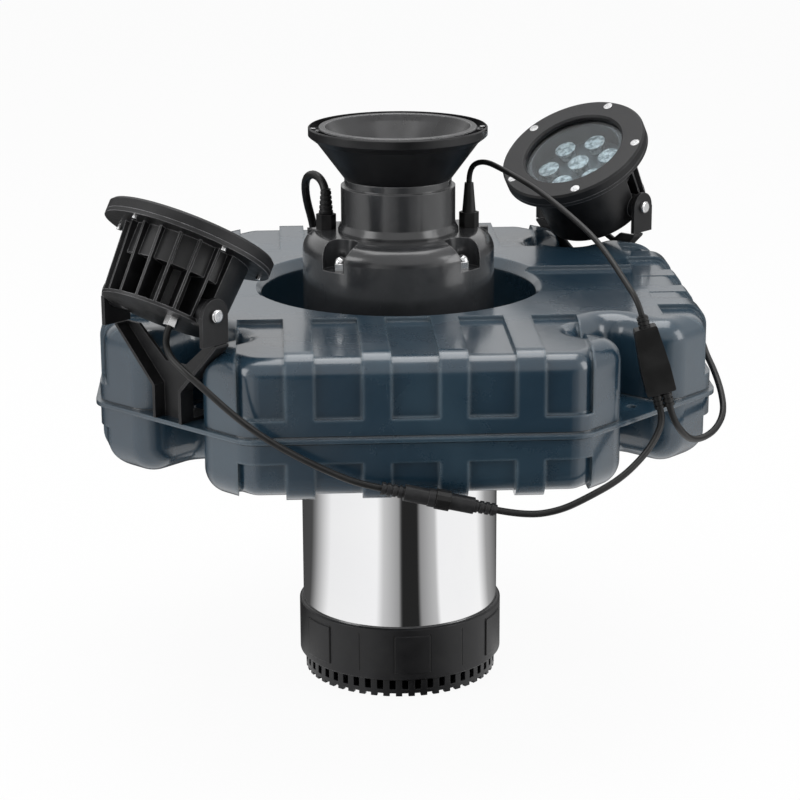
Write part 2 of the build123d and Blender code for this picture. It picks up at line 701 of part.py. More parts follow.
def mounting_ring():
    """Steel band round the jacket, with four arms that rest on the float's ledge."""
    band_bottom = ledge_height - RING_HEIGHT / 2
    hoop = ring(JACKET_R + SNUG + RING_WALL, JACKET_R + SNUG, band_bottom, band_bottom + RING_HEIGHT)
    arm = block(JACKET_R + RING_WALL / 2, RING_ARM_END_R, -RING_ARM_WIDTH / 2, RING_ARM_WIDTH / 2,
                ledge_height, ledge_height + RING_ARM_THICKNESS)
    hole = Pos(RING_BOLT_CIRCLE_R, 0, 0) * disc(
        RING_BOLT_R + SNUG, ledge_height, ledge_height + RING_ARM_THICKNESS)
    return hoop + [turn * (arm - hole) for turn in around(RING_ARM_COUNT)]


def ring_bolts():
    """Bolts of the mounting ring's arms."""
    head_foot = ledge_height + RING_ARM_THICKNESS
    bolt = disc(RING_BOLT_R, ledge_height - RING_BOLT_DEPTH, head_foot)
    bolt += Pos(0, 0, head_foot) * extrude(RegularPolygon(RING_BOLT_HEAD_R, 6), RING_BOLT_HEAD)
    return Compound(children=[turn * Pos(RING_BOLT_CIRCLE_R, 0, 0) * bolt for turn in around(RING_ARM_COUNT)])


def lamp_side(side):
    """Turn from a lamp's own frame, where +Y is outward, to its corner of the float."""
    return Rot(0, 0, {"left": 135, "right": -45}[side])


def lamp_place(side):
    """Place of a lamp's own frame: on its tilt axis and aimed."""
    return lamp_side(side) * Pos(0, LAMP_PIVOT_OUT, LAMP_PIVOT_HEIGHT) * Rot(LAMP_TILT, 0, 0)


def lamp_taper(bottom, top):
    """The lamp body's tapering envelope between two levels."""
    slope = (LAMP_BODY_TOP_R - LAMP_BODY_REAR_R) / (BEZEL_BACK - LAMP_FLANGE - LAMP_REAR)
    low_r = LAMP_BODY_REAR_R + slope * (bottom - LAMP_REAR)
    high_r = LAMP_BODY_REAR_R + slope * (top - LAMP_REAR)
    return turned([(0, bottom), (low_r, bottom), (high_r, top), (0, top)])


def lamp_housing():
    """Cast lamp body: a smooth half with tilt bosses, and cooling fins on the outer half."""
    flange_foot = BEZEL_BACK - LAMP_FLANGE
    cup_in = LAMP_CUP_R - LAMP_CUP_WALL
    cup_bottom = LAMP_CUP_FLOOR
    envelope = lamp_taper(LAMP_REAR, flange_foot)
    inner_half = block(-BEZEL_R, BEZEL_R, -BEZEL_R, 0, LAMP_REAR, flange_foot)
    body = envelope & inner_half
    body += disc(LAMP_CORE_R, LAMP_REAR, flange_foot)
    body += disc(LAMP_CUP_R, cup_bottom, flange_foot)
    body += lamp_taper(LAMP_REAR, LAMP_REAR + LAMP_REAR_PLATE)
    fin = block(0, BEZEL_R, -FIN_THICKNESS / 2, FIN_THICKNESS / 2, LAMP_REAR, flange_foot)
    first = (180 - FIN_ARC) / 2
    step = FIN_ARC / (FIN_COUNT - 1)
    fins = Part() + [Rot(0, 0, first + step * index) * fin for index in range(FIN_COUNT)]
    body += fins & envelope
    body += disc(BEZEL_R, flange_foot, BEZEL_BACK)
    boss = Rot(0, 90, 0) * Pos(0, 0, BOSS_ROOT) * Cylinder(BOSS_R, BOSS_REACH - BOSS_ROOT, align=UPRIGHT)
    body += [boss, Rot(0, 0, 180) * boss]
    body -= disc(cup_in, cup_bottom + LAMP_CUP_FLOOR_THICKNESS, BEZEL_BACK)
    hole = Rot(0, 90, 0) * Pos(0, 0, BOSS_REACH - PIVOT_SCREW_INSIDE) * Cylinder(
        PIVOT_SCREW_R + RUNNING, PIVOT_SCREW_INSIDE, align=UPRIGHT)
    body -= [hole, Rot(0, 0, 180) * hole]
    body -= [place * disc(BEZEL_SCREW_R + SNUG, flange_foot, BEZEL_BACK) for place in bezel_screw_places()]
    return body


def bezel_screw_places():
    """Centres of the bezel's screws."""
    return [turn * Pos(BEZEL_SCREW_CIRCLE_R, 0, 0) for turn in around(BEZEL_SCREW_COUNT, BEZEL_SCREW_ANGLE)]


def lamp_bezel():
    """Round front ring of a lamp, with a lip that holds the glass."""
    seat_r = GLASS_R + SNUG
    seat_top = bezel_front - BEZEL_LIP
    body = turned([
        (seat_r, BEZEL_BACK), (BEZEL_R, BEZEL_BACK), (BEZEL_R, bezel_front - BEZEL_EDGE),
        (BEZEL_R - BEZEL_EDGE, bezel_front), (BEZEL_OPENING_R + BEZEL_EDGE, bezel_front),
        (BEZEL_OPENING_R, bezel_front - BEZEL_EDGE), (BEZEL_OPENING_R, seat_top), (seat_r, seat_top),
    ])
    counterbore = disc(BEZEL_SCREW_HEAD_R + SNUG, bezel_front - BEZEL_SCREW_HEAD, bezel_front)
    hole = disc(BEZEL_SCREW_R + SNUG, BEZEL_BACK, bezel_front) + counterbore
    return body - [place * hole for place in bezel_screw_places()]


def lamp_gasket():
    """Seal ring between the lamp's flange and the glass."""
    return ring(GLASS_R, GLASS_R - GASKET_WIDTH, BEZEL_BACK, glass_back())


def glass_back():
    """Level of the glass's inner face."""
    return bezel_front - BEZEL_LIP - GLASS_THICKNESS


def lamp_glass():
    """Flat front glass."""
    return disc(GLASS_R, glass_back(), glass_back() + GLASS_THICKNESS)


def led_board_top():
    """Level of the board that the lenses stand on."""
    return LAMP_CUP_FLOOR + LAMP_CUP_FLOOR_THICKNESS + LED_BOARD_RISE + LED_BOARD_THICKNESS


def led_board():
    """Round board on its heat spreader."""
    bottom = LAMP_CUP_FLOOR + LAMP_CUP_FLOOR_THICKNESS
    board_r = LAMP_CUP_R - LAMP_CUP_WALL - FACE_GAP
    return disc(board_r, led_board_top() - LED_BOARD_THICKNESS, led_board_top()) + disc(
        board_r - LENS_R, bottom, led_board_top() - LED_BOARD_THICKNESS)


def lamp_lenses():
    """Collimator lenses: one in the middle and a ring round it."""
    lens = Pos(0, 0, led_board_top() + LENS_HEIGHT / 2) * Cone(LENS_FOOT_R, LENS_R, LENS_HEIGHT)
    places = [Pos(0, 0, 0)] + [turn * Pos(LENS_PITCH, 0, 0) for turn in around(LENS_COUNT, 30)]
    return Compound(children=[place * lens for place in places])


def lamp_screws():
    """Bezel screws and the two tilt screws of a lamp."""
    flange_foot = BEZEL_BACK - LAMP_FLANGE
    screw = disc(BEZEL_SCREW_R, flange_foot - BEZEL_SCREW_TAIL, bezel_front - BEZEL_SCREW_HEAD)
    screw += disc(BEZEL_SCREW_HEAD_R, bezel_front - BEZEL_SCREW_HEAD, bezel_front)
    head_foot = EAR_IN_X + EAR_THICKNESS + FACE_GAP
    pivot = disc(PIVOT_SCREW_R, BOSS_REACH - PIVOT_SCREW_INSIDE, head_foot)
    head = disc(PIVOT_SCREW_HEAD_R, head_foot, head_foot + PIVOT_SCREW_HEAD)
    pivot += fillet(head.edges().group_by(Axis.Z)[-1], PIVOT_SCREW_HEAD / 2)
    pivot = Rot(0, 90, 0) * pivot
    pieces = [place * screw for place in bezel_screw_places()]
    return Compound(children=pieces + [pivot, Rot(0, 0, 180) * pivot])


def lamp_gland():
    """Small metal gland at the back of a lamp."""
    body = Pos(LAMP_GLAND_X, LAMP_GLAND_Y, LAMP_REAR - LAMP_GLAND_LENGTH)
    return body * extrude(RegularPolygon(LAMP_GLAND_R, 6), LAMP_GLAND_LENGTH)


def bracket_strip(side):
    """Bent flange along one edge of the bracket's plate, in front view."""
    half = LEG_WIDTH / 2
    out_x = EAR_IN_X + EAR_THICKNESS
    outer = [(half, web_top), (half, LEG_SHOULDER), (out_x, ARM_OUT_HEIGHT), (out_x, ARM_TOP)]
    inner = [(out_x - BRACKET_SHEET, ARM_TOP), (out_x - BRACKET_SHEET, ARM_OUT_HEIGHT + 1),
             (half - BRACKET_SHEET, LEG_SHOULDER + 1), (half - BRACKET_SHEET, web_top)]
    return [(side * x, 0, z) for x, z in outer + inner]


def lamp_bracket(side):
    """One-piece pressed bracket: a channel leg that flares into a fork with two ears."""
    plate_back = LAMP_PIVOT_OUT - BRACKET_PLATE_IN
    half = LEG_WIDTH / 2
    out_x = EAR_IN_X + EAR_THICKNESS
    right_edge = [(half, web_top), (half, LEG_SHOULDER), (out_x, ARM_OUT_HEIGHT), (out_x, ARM_TOP),
                  (ARM_INNER_X, ARM_TOP), (VALLEY_X, VALLEY_HEIGHT)]
    left_edge = [(-x, z) for x, z in reversed(right_edge)]
    outline = [(x, plate_back, z) for x, z in right_edge + left_edge]
    outward = (0, 1, 0)
    body = extrude(make_face(Polyline(*outline, close=True)), BRACKET_SHEET, dir=outward)
    for hand in (-1, 1):
        strip = [(x, plate_back, z) for x, y, z in bracket_strip(hand)]
        body += extrude(make_face(Polyline(*strip, close=True)), LEG_FLANGE, dir=outward)
    ear_low = LAMP_PIVOT_HEIGHT - EAR_DROP
    ear = block(EAR_IN_X, out_x, plate_back, plate_back + EAR_WIDTH, ear_low, LAMP_PIVOT_HEIGHT)
    rounding = Pos(EAR_IN_X, LAMP_PIVOT_OUT, LAMP_PIVOT_HEIGHT) * Rot(0, 90, 0) * Cylinder(
        EAR_WIDTH / 2 - FACE_GAP, EAR_THICKNESS, align=UPRIGHT)
    hole = Pos(EAR_IN_X, LAMP_PIVOT_OUT, LAMP_PIVOT_HEIGHT) * Rot(0, 90, 0) * Cylinder(
        PIVOT_SCREW_R + 2 * RUNNING, EAR_THICKNESS, align=UPRIGHT)
    ear = ear + rounding - hole
    body += [ear, mirror(ear, Plane.YZ)]
    body += block(-half, half, plate_back - FOOT_REACH, plate_back + BRACKET_SHEET, web_top, web_top + BRACKET_SHEET)
    body -= Pos(0, WEB_HOLE_RADIUS_OUT, 0) * disc(BRACKET_BOLT_R + SNUG, web_top, web_top + BRACKET_SHEET)
    return lamp_side(side) * body


def bracket_bolts():
    """Bolt and nut under the foot of each bracket."""
    pieces = []
    for side in ("left", "right"):
        place = lamp_side(side) * Pos(0, WEB_HOLE_RADIUS_OUT, 0)
        head_foot = web_top + BRACKET_SHEET
        nut_foot = web_bottom - BRACKET_NUT_HEIGHT
        bolt = disc(BRACKET_BOLT_R, nut_foot - 2, head_foot)
        bolt += Pos(0, 0, head_foot) * extrude(RegularPolygon(BRACKET_BOLT_HEAD_R, 6), BRACKET_BOLT_HEAD)
        nut = Pos(0, 0, nut_foot) * extrude(RegularPolygon(BRACKET_BOLT_HEAD_R, 6), BRACKET_NUT_HEIGHT)
        nut -= disc(BRACKET_BOLT_R + RUNNING, nut_foot, web_bottom)
        pieces += [place * bolt, place * nut]
    return Compound(children=pieces)


def cord(name, points, diameter):
    """A round cord along straight runs joined by tangent arcs."""
    runs = [Vector(*b) - Vector(*a) for a, b in zip(points, points[1:])]
    radii = []
    for before, after in zip(runs, runs[1:]):
        half_turn = radians(before.get_angle(after)) / 2
        radii.append(ARC_SHARE * min(before.length, after.length) / tan(half_turn))
    path = FilletPolyline(*points, radius=radii)
    section = Plane(origin=path @ 0, z_dir=path % 0) * Circle(diameter / 2)
    tube = sweep(section, path=path)
    share = tube.volume / (section.area * path.length)
    print(name, "length", round(path.length, 1), "volume share", round(share, 4))
    print("  radii", [round(radius, 1) for radius in radii])
    print("  route", [tuple(round(value, 2) for value in point) for point in points])
    return tube


def between(start, end):
    """Frame at start with +Z towards end."""
    return Location(Plane(origin=start, z_dir=Vector(*end) - Vector(*start)))


def ribbed_tail(bottom, top, rib_r, core_r, ribs=4):
    """A cord's flexible boot: a core with rings on it."""
    tail = disc(core_r, bottom, top)
    pitch = (top - bottom) / ribs
    return tail + [disc(rib_r, bottom + pitch * index, bottom + pitch * (index + 0.6)) for index in range(ribs)]


def pair_levels():
    """Ends of the plug, the coupling nut and the socket along a connector pair."""
    plug_end = PLUG_RIB_LENGTH + PLUG_BODY_LENGTH + PLUG_RING_LENGTH
    nut_start = plug_end + FACE_GAP
    nut_end = nut_start + COUPLING_LENGTH
    return plug_end, nut_start, nut_end, nut_end + FACE_GAP


def pair_plug(start, end):
    """Plug half on the lamp's cord: boot, body, ring and the spigot inside the coupling nut."""
    plug_end, nut_start, nut_end, socket_start = pair_levels()
    body_end = PLUG_RIB_LENGTH + PLUG_BODY_LENGTH
    body = ribbed_tail(0, PLUG_RIB_LENGTH, PLUG_RIB_R, PLUG_RIB_R - 1)
    body += disc(PLUG_BODY_R, PLUG_RIB_LENGTH, body_end)
    body += disc(PLUG_RING_R, body_end, plug_end)
    body += disc(PLUG_SPIGOT_R, plug_end, nut_end)
    return between(start, end) * body


def pair_nut(start, end):
    """Knurled coupling nut that turns on the spigot."""
    plug_end, nut_start, nut_end, socket_start = pair_levels()
    nut = Pos(0, 0, nut_start) * extrude(RegularPolygon(COUPLING_R, COUPLING_SIDES), COUPLING_LENGTH)
    nut -= disc(PLUG_SPIGOT_R + RUNNING, nut_start, nut_end)
    return between(start, end) * nut


def pair_socket(start, end):
    """Socket half on the splitter's lead."""
    socket_start = pair_levels()[3]
    length = (Vector(*end) - Vector(*start)).length
    tail_start = length - PLUG_RIB_LENGTH
    body = disc(PLUG_BODY_R, socket_start, tail_start)
    body += ribbed_tail(tail_start, length, PLUG_RIB_R, PLUG_RIB_R - 1)
    return between(start, end) * body


def splitter():
    """Flat Y splitter: a slim top grommet, a moulded body and a double lower grommet."""
    half = SPLITTER_LENGTH / 2
    outline = [(-SPLITTER_TOP_WIDTH / 2, half), (SPLITTER_TOP_WIDTH / 2, half),
               (SPLITTER_WIDTH / 2, SPLITTER_WAIST - half / 2), (SPLITTER_WIDTH / 2, -half),
               (-SPLITTER_WIDTH / 2, -half), (-SPLITTER_WIDTH / 2, SPLITTER_WAIST - half / 2)]
    face = make_face(Polyline(*[(x, -SPLITTER_THICKNESS / 2, z) for x, z in outline], close=True))
    body = extrude(face, SPLITTER_THICKNESS, dir=(0, 1, 0))
    body = fillet(body.edges().filter_by(Axis.Y), 2.0)
    body += Pos(0, 0, half) * ribbed_tail(0, SPLITTER_TOP_GROMMET, SPLITTER_GROMMET_R, SPLITTER_GROMMET_R - 1.2, 3)
    for hand in (-1, 1):
        tail = ribbed_tail(-SPLITTER_LOWER_GROMMET, 0, SPLITTER_GROMMET_R - 0.6, SPLITTER_GROMMET_R - 1.4, 3)
        body += Pos(hand * SPLITTER_OUTLET_OFFSET, 0, -half) * tail
    return Pos(*SPLITTER_CENTRE) * Rot(0, SPLITTER_TILT, 0) * body


def power_coil():
    """Outer shape of the stored turns of the mains cord."""
    half = COIL_BUILD / 2
    coil = ring(COIL_R + half, COIL_R - half, 0, coil_height)
    coil = fillet(coil.edges(), POWER_CORD_DIAMETER / 2)
    return Pos(*COIL_CENTRE, 0) * coil


def power_plug():
    """Generic two-pin mains plug that lies in the middle of the coil."""
    length, width, height = MAINS_BODY
    body = block(-length / 2, length / 2, -width / 2, width / 2, 0, height)
    body = fillet(body.edges().filter_by(Axis.X), height / 4)
    middle = height / 2
    relief_length = COIL_R - COIL_BUILD / 2 - length / 2 - FACE_GAP + PLUG_CENTRE_BACK
    relief = Pos(-length / 2, 0, middle) * Rot(0, -90, 0) * Cylinder(MAINS_RELIEF_R, relief_length, align=UPRIGHT)
    body += relief
    for hand in (-1, 1):
        pin = Pos(length / 2, hand * MAINS_PIN_SPACING / 2, middle) * Rot(0, 90, 0)
        body += pin * Cylinder(MAINS_PIN_R, MAINS_PIN_LENGTH, align=UPRIGHT)
    return Pos(COIL_CENTRE[0] + PLUG_CENTRE_BACK, COIL_CENTRE[1], 0) * body


def route(start, first_run, middle, last_run, end):
    """Points of a cord that leaves two exits along their own axes."""
    points = [start.position, (start * Pos(0, 0, first_run)).position]
    points += [Vector(*point) for point in middle]
    points += [(end * Pos(0, 0, last_run)).position, end.position]
    return [tuple(point) for point in points]


def splitter_exit(x, z, turn):
    """Exit of a cord from the splitter, with +Z on the way out."""
    return Pos(*SPLITTER_CENTRE) * Rot(0, SPLITTER_TILT, 0) * Pos(x, 0, z) * Rot(turn, 0, 0)


def lamp_exit(side):
    """Exit of a lamp's cord from its gland."""
    tip = Pos(LAMP_GLAND_X, LAMP_GLAND_Y, LAMP_REAR - LAMP_GLAND_LENGTH)
    return lamp_place(side) * tip * Rot(180, 0, 0)


def cord_routes():
    """Name, points and diameter of every cord."""
    power_foot, light_foot = gland_places()
    power_exit = power_foot * Pos(0, 0, GLAND_NUT_HEIGHT + POWER_SLEEVE_LENGTH)
    light_exit = light_foot * Pos(0, 0, GLAND_NUT_HEIGHT + LIGHT_SLEEVE_LENGTH)
    half = SPLITTER_LENGTH / 2
    split_top = splitter_exit(0, half + SPLITTER_TOP_GROMMET, 0)
    split_left = splitter_exit(-SPLITTER_OUTLET_OFFSET, -half - SPLITTER_LOWER_GROMMET, 180)
    split_right = splitter_exit(SPLITTER_OUTLET_OFFSET, -half - SPLITTER_LOWER_GROMMET, 180)
    left_plug_exit = between(LEFT_PAIR_START, LEFT_PAIR_END) * Rot(180, 0, 0)
    left_socket_exit = between(LEFT_PAIR_END, LEFT_PAIR_START) * Rot(180, 0, 0)
    right_plug_exit = between(RIGHT_PAIR_START, RIGHT_PAIR_END) * Rot(180, 0, 0)
    right_socket_exit = between(RIGHT_PAIR_END, RIGHT_PAIR_START) * Rot(180, 0, 0)
    coil_exit = Pos(*COIL_CENTRE, COIL_EXIT_HEIGHT) * Rot(0, 0, COIL_EXIT_ANGLE) * Pos(
        COIL_R + COIL_BUILD / 2 + FACE_GAP, 0, 0) * Rot(0, 90, 0)
    return {
        "light_lead": (LIGHT_LEAD_DIAMETER, route(light_exit, 15.0, [
            (80.0, -10.0, 505.0), (97.0, -36.0, 500.0), (115.0, -66.0, 493.5), (128.6, -102.0, 488.4),
            (143.0, -130.0, 479.8), (163.0, -164.0, 465.0), (175.2, -192.0, 451.0), (184.5, -214.0, 436.5),
        ], 13.0, split_top)),
        "left_lead": (LAMP_CORD_DIAMETER, route(split_left, 11.0, [
            (212.5, -243.5, 302.0), (201.0, -254.5, 289.0), (177.6, -271.0, 272.5), (148.5, -282.5, 260.4),
            (122.7, -287.5, 250.0),
        ], 26.0, left_socket_exit)),
        "right_lead": (LAMP_CORD_DIAMETER, route(split_right, 12.0, [
            (236.0, -230.0, 302.0), (247.0, -217.0, 290.0), (262.0, -199.0, 286.0), (277.0, -178.0, 288.0),
            (288.0, -154.0, 296.0), (290.5, -126.0, 307.0), (289.0, -96.0, 319.0), (286.5, -66.0, 327.0),
        ], 20.0, right_socket_exit)),
        "left_lamp_cord": (LAMP_CORD_DIAMETER, route(lamp_exit("left"), 11.0, [
            (-209.0, -265.0, 388.5), (-197.0, -278.0, 379.0), (-180.5, -287.5, 366.0), (-155.0, -290.0, 341.7),
            (-129.6, -287.5, 320.5), (-98.0, -287.5, 301.0), (-64.0, -287.0, 284.0),
        ], 15.0, left_plug_exit)),
        "right_lamp_cord": (LAMP_CORD_DIAMETER, route(lamp_exit("right"), 11.0, [
            (221.0, 252.0, 386.0), (237.0, 238.0, 374.0), (254.0, 214.0, 364.0), (271.0, 186.0, 355.0),
            (284.0, 156.0, 349.0), (289.0, 130.0, 345.0),
        ], 22.0, right_plug_exit)),
        "power_cord": (POWER_CORD_DIAMETER, route(power_exit, 12.0, [
            (-72.0, 18.0, 484.0), (-80.0, 32.0, 487.0), (-87.0, 50.0, 478.0), (-86.0, 66.0, 455.0),
            (-78.0, 74.0, 425.0), (-75.0, 76.0, 380.0), (-77.0, 74.0, 320.0), (-75.0, 76.0, 260.0),
            (-77.0, 78.0, 190.0), (-74.0, 86.0, 125.0), (-66.0, 93.0, 76.0), (-54.0, 100.0, 38.0),
        ], 30.0, coil_exit)),
    }


def all_nodes():
    """Every sub-part by its node's name."""
    nodes = {
        "strainer_base": strainer_base(),
        "suction_plate": suction_plate(),
        "outer_jacket": outer_jacket(),
        "motor_can": motor_can(),
        "lower_end_cap": lower_end_cap(),
        "upper_end_cap": upper_end_cap(),
        "stator_core": stator_core(),
        "stator_windings": stator_windings(),
        "bearings": bearings(),
        "shaft": shaft(),
        "rotor_core": rotor_core(),
        "impeller": impeller(),
        "seal_ring": seal_ring(),
        "tie_rods": tie_rods(),
        "dome_nuts": dome_nuts(),
        "dome_housing": dome_housing(),
        "power_gland": power_gland(),
        "light_gland": light_gland(),
        "outlet_collar": outlet_collar(),
        "nozzle_outer_cone": nozzle_outer_cone(),
        "nozzle_inner_cone": nozzle_inner_cone(),
        "nozzle_screws": nozzle_screws(),
        "float_body": float_body(),
        "mounting_ring": mounting_ring(),
        "ring_bolts": ring_bolts(),
        "bracket_bolts": bracket_bolts(),
        "splitter": splitter(),
        "power_coil": power_coil(),
        "power_plug": power_plug(),
    }
    for name, (diameter, points) in cord_routes().items():
        nodes[name] = cord(name, points, diameter)
    housing = lamp_housing()
    pieces = {
        "housing": housing, "bezel": lamp_bezel(), "gasket": lamp_gasket(), "glass": lamp_glass(),
        "led_board": led_board(), "lenses": lamp_lenses(), "screws": lamp_screws(), "gland": lamp_gland(),
    }
    pairs = {"left": (LEFT_PAIR_START, LEFT_PAIR_END), "right": (RIGHT_PAIR_START, RIGHT_PAIR_END)}
    for side, (start, end) in pairs.items():
        for piece, shape in pieces.items():
            nodes[f"{side}_lamp_{piece}"] = lamp_place(side) * shape
        nodes[f"{side}_bracket"] = lamp_bracket(side)
        nodes[f"{side}_plug"] = pair_plug(start, end)
        nodes[f"{side}_coupling_nut"] = pair_nut(start, end)
        nodes[f"{side}_socket"] = pair_socket(start, end)
    return nodes


os.makedirs("parts", exist_ok=True)
for node, shape in all_nodes().items():
    export_step(shape, f"parts/{node}.step")
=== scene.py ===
import json
from math import cos, pi, radians, sin, tau

import bmesh
import bpy
from mathutils import Matrix, Vector


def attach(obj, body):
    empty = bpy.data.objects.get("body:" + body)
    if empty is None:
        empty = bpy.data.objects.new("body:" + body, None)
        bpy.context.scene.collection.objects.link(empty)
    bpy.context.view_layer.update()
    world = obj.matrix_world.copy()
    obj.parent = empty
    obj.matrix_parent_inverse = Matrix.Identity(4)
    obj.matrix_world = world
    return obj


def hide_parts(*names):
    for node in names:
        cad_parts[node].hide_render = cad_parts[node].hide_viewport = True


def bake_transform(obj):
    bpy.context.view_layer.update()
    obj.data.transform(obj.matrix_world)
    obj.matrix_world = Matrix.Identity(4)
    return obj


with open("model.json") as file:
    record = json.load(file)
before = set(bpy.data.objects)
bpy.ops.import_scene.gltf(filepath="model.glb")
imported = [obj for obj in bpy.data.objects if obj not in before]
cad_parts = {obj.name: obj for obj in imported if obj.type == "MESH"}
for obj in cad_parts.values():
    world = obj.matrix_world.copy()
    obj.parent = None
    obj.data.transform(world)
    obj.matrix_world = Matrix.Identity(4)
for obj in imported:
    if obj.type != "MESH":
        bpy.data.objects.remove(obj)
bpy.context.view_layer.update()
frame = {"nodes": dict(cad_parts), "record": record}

nodes = frame["nodes"]
scene = bpy.context.scene
MILLIMETRE = 0.001
WHITE = (1, 1, 1, 1)


def metres(place):
    return [value * MILLIMETRE for value in place]


# Shader helpers

NODE_COLUMNS = 10
NODE_WIDTH, NODE_HEIGHT = 200, 320


def link(tree, source, target):
    tree.links.new(source, target)


def add_node(tree, kind, **values):
    """A new node in the next free place of a grid, row by row."""
    row, column = divmod(len(tree.nodes), NODE_COLUMNS)
    node = tree.nodes.new(kind)
    node.location = (column * NODE_WIDTH, -row * NODE_HEIGHT)
    for name, value in values.items():
        setattr(node, name, value)
    return node


def put(tree, value, socket):
    """Feeds a socket from another socket or a plain value."""
    if isinstance(value, bpy.types.NodeSocket):
        link(tree, value, socket)
    else:
        socket.default_value = value


def math(tree, operation, *values, clamp=False):
    node = add_node(tree, "ShaderNodeMath", operation=operation, use_clamp=clamp)
    for value, socket in zip(values, node.inputs):
        put(tree, value, socket)
    return node.outputs[0]


def times(tree, first, second):
    return math(tree, "MULTIPLY", first, second)


def noise(tree, vector, scale, detail, rough, distortion=0.0):
    node = add_node(tree, "ShaderNodeTexNoise")
    link(tree, vector, node.inputs["Vector"])
    put(tree, scale, node.inputs["Scale"])
    node.inputs["Detail"].default_value = detail
    node.inputs["Roughness"].default_value = rough
    node.inputs["Distortion"].default_value = distortion
    return node.outputs["Fac"]


def spread(tree, value, low, high, to_low=0.0, to_high=1.0, smooth=False):
    """Maps low to high onto another range and clamps it."""
    node = add_node(tree, "ShaderNodeMapRange", clamp=True)
    node.interpolation_type = "SMOOTHSTEP" if smooth else "LINEAR"
    for item, socket in zip((value, low, high, to_low, to_high), node.inputs):
        put(tree, item, socket)
    return node.outputs[0]


def blend_colour(tree, share, first, second):
    node = add_node(tree, "ShaderNodeMix", data_type="RGBA")
    shares, firsts, seconds = node.inputs[0], node.inputs[6], node.inputs[7]
    put(tree, share, shares)
    put(tree, first, firsts)
    put(tree, second, seconds)
    return node.outputs[2]


def stretched(tree, vector, stretch):
    node = add_node(tree, "ShaderNodeVectorMath", operation="MULTIPLY")
    link(tree, vector, node.inputs[0])
    put(tree, stretch, node.inputs[1])
    return node.outputs[0]


def split(tree, vector):
    node = add_node(tree, "ShaderNodeSeparateXYZ")
    link(tree, vector, node.inputs[0])
    return node.outputs


def coordinates(tree, kind="Object"):
    return add_node(tree, "ShaderNodeTexCoord").outputs[kind]


def shader_group(name, inputs, outputs):
    """A new group with its named sockets, and its input and output nodes."""
    tree = bpy.data.node_groups.new(name, "ShaderNodeTree")
    for label, kind, value in inputs:
        socket = tree.interface.new_socket(name=label, in_out="INPUT", socket_type="NodeSocket" + kind)
        socket.default_value = value
    for label, kind in outputs:
        tree.interface.new_socket(name=label, in_out="OUTPUT", socket_type="NodeSocket" + kind)
    return tree, add_node(tree, "NodeGroupInput"), add_node(tree, "NodeGroupOutput")


def new_material(name):
    """A material with its tree and its Principled shader."""
    material = bpy.data.materials.new(name)
    material.use_nodes = True
    return material, material.node_tree, material.node_tree.nodes["Principled BSDF"]


# Camera, floor, lights

CAMERA_DISTANCE = 2.300
CAMERA_HEIGHT = 0.929
CAMERA_YAW = radians(-3.0)
CAMERA_PITCH = radians(16.0)
CAMERA_ROLL = radians(-0.26)
CAMERA_REACH = 30
FOCAL_PIXELS = 2475
FRAME_PIXELS = 800
SENSOR = 36.0
SHIFT_RIGHT = 1 / 800

FLOOR_SIZE = 14
FLOOR_DROP = 0.001
FLOOR_MATT = (0.9, 0.9, 0.9, 1)
FLOOR_WHITE_SHARE = 0.94
SOFT_LIGHT = 0.5
WORLD_BAND_COLOUR = (0.8, 0.8, 0.8, 1)

# Studio seen in polished metal: bearing from the camera's side in degrees, and brightness
STUDIO_BANDS = [
    (-180, 0.05), (-120, 0.07), (-112, 0.22), (-84, 0.95), (-27, 1.0), (-20, 0.62), (-4, 0.34), (-1, 0.02),
    (16, 0.02), (19, 0.30), (35, 0.55), (39, 1.0), (92, 1.0), (110, 0.35), (150, 0.07),
]
OVERHEAD_FROM, OVERHEAD_FULL = 0.02, 0.30

LIGHTS = [
    # name, place, aim, width, height, watts
    ("top_light", (0.0, 0.3, 2.6), (0, 0, 0.35), 2.0, 2.0, 38),
    ("left_light", (-2.4, -1.2, 1.3), (0, 0, 0.3), 1.2, 1.8, 22),
    ("right_light", (2.4, -1.0, 1.3), (0, 0, 0.3), 1.2, 1.8, 22),
]


def add_camera():
    data = bpy.data.cameras.new("camera")
    data.sensor_width = SENSOR
    data.lens = FOCAL_PIXELS / FRAME_PIXELS * SENSOR
    data.shift_x = SHIFT_RIGHT
    data.clip_end = CAMERA_REACH
    camera = bpy.data.objects.new("camera", data)
    scene.collection.objects.link(camera)
    camera.location = (sin(CAMERA_YAW) * CAMERA_DISTANCE, -cos(CAMERA_YAW) * CAMERA_DISTANCE, CAMERA_HEIGHT)
    turn = Matrix.Rotation(CAMERA_YAW, 4, "Z") @ Matrix.Rotation(pi / 2 - CAMERA_PITCH, 4, "X")
    camera.rotation_euler = (turn @ Matrix.Rotation(CAMERA_ROLL, 4, "Z")).to_euler()
    scene.camera = camera


def studio_bands():
    """Bright and dark upright bands round the stage by bearing, and a bright overhead."""
    tree, given, out = shader_group("studio_bands", [("Place", "Vector", (0, 0, 0))], [("Brightness", "Float")])
    right, away, up = split(tree, given.outputs["Place"])
    bearing = math(tree, "ARCTAN2", right, times(tree, away, -1.0))
    turn_share = math(tree, "ADD", math(tree, "DIVIDE", bearing, tau), 0.5)
    ramp = add_node(tree, "ShaderNodeValToRGB")
    stops = ramp.color_ramp.elements
    for index, (degrees, level) in enumerate([STUDIO_BANDS[0], STUDIO_BANDS[-1], *STUDIO_BANDS[1:-1]]):
        place = (degrees + 180) / 360
        stop = stops[index] if index < 2 else stops.new(place)
        stop.position = place
        stop.color = (level, level, level, 1)
    link(tree, turn_share, ramp.inputs[0])
    overhead = spread(tree, up, OVERHEAD_FROM, OVERHEAD_FULL, smooth=True)
    link(tree, math(tree, "MAXIMUM", ramp.outputs[0], overhead), out.inputs["Brightness"])
    return tree


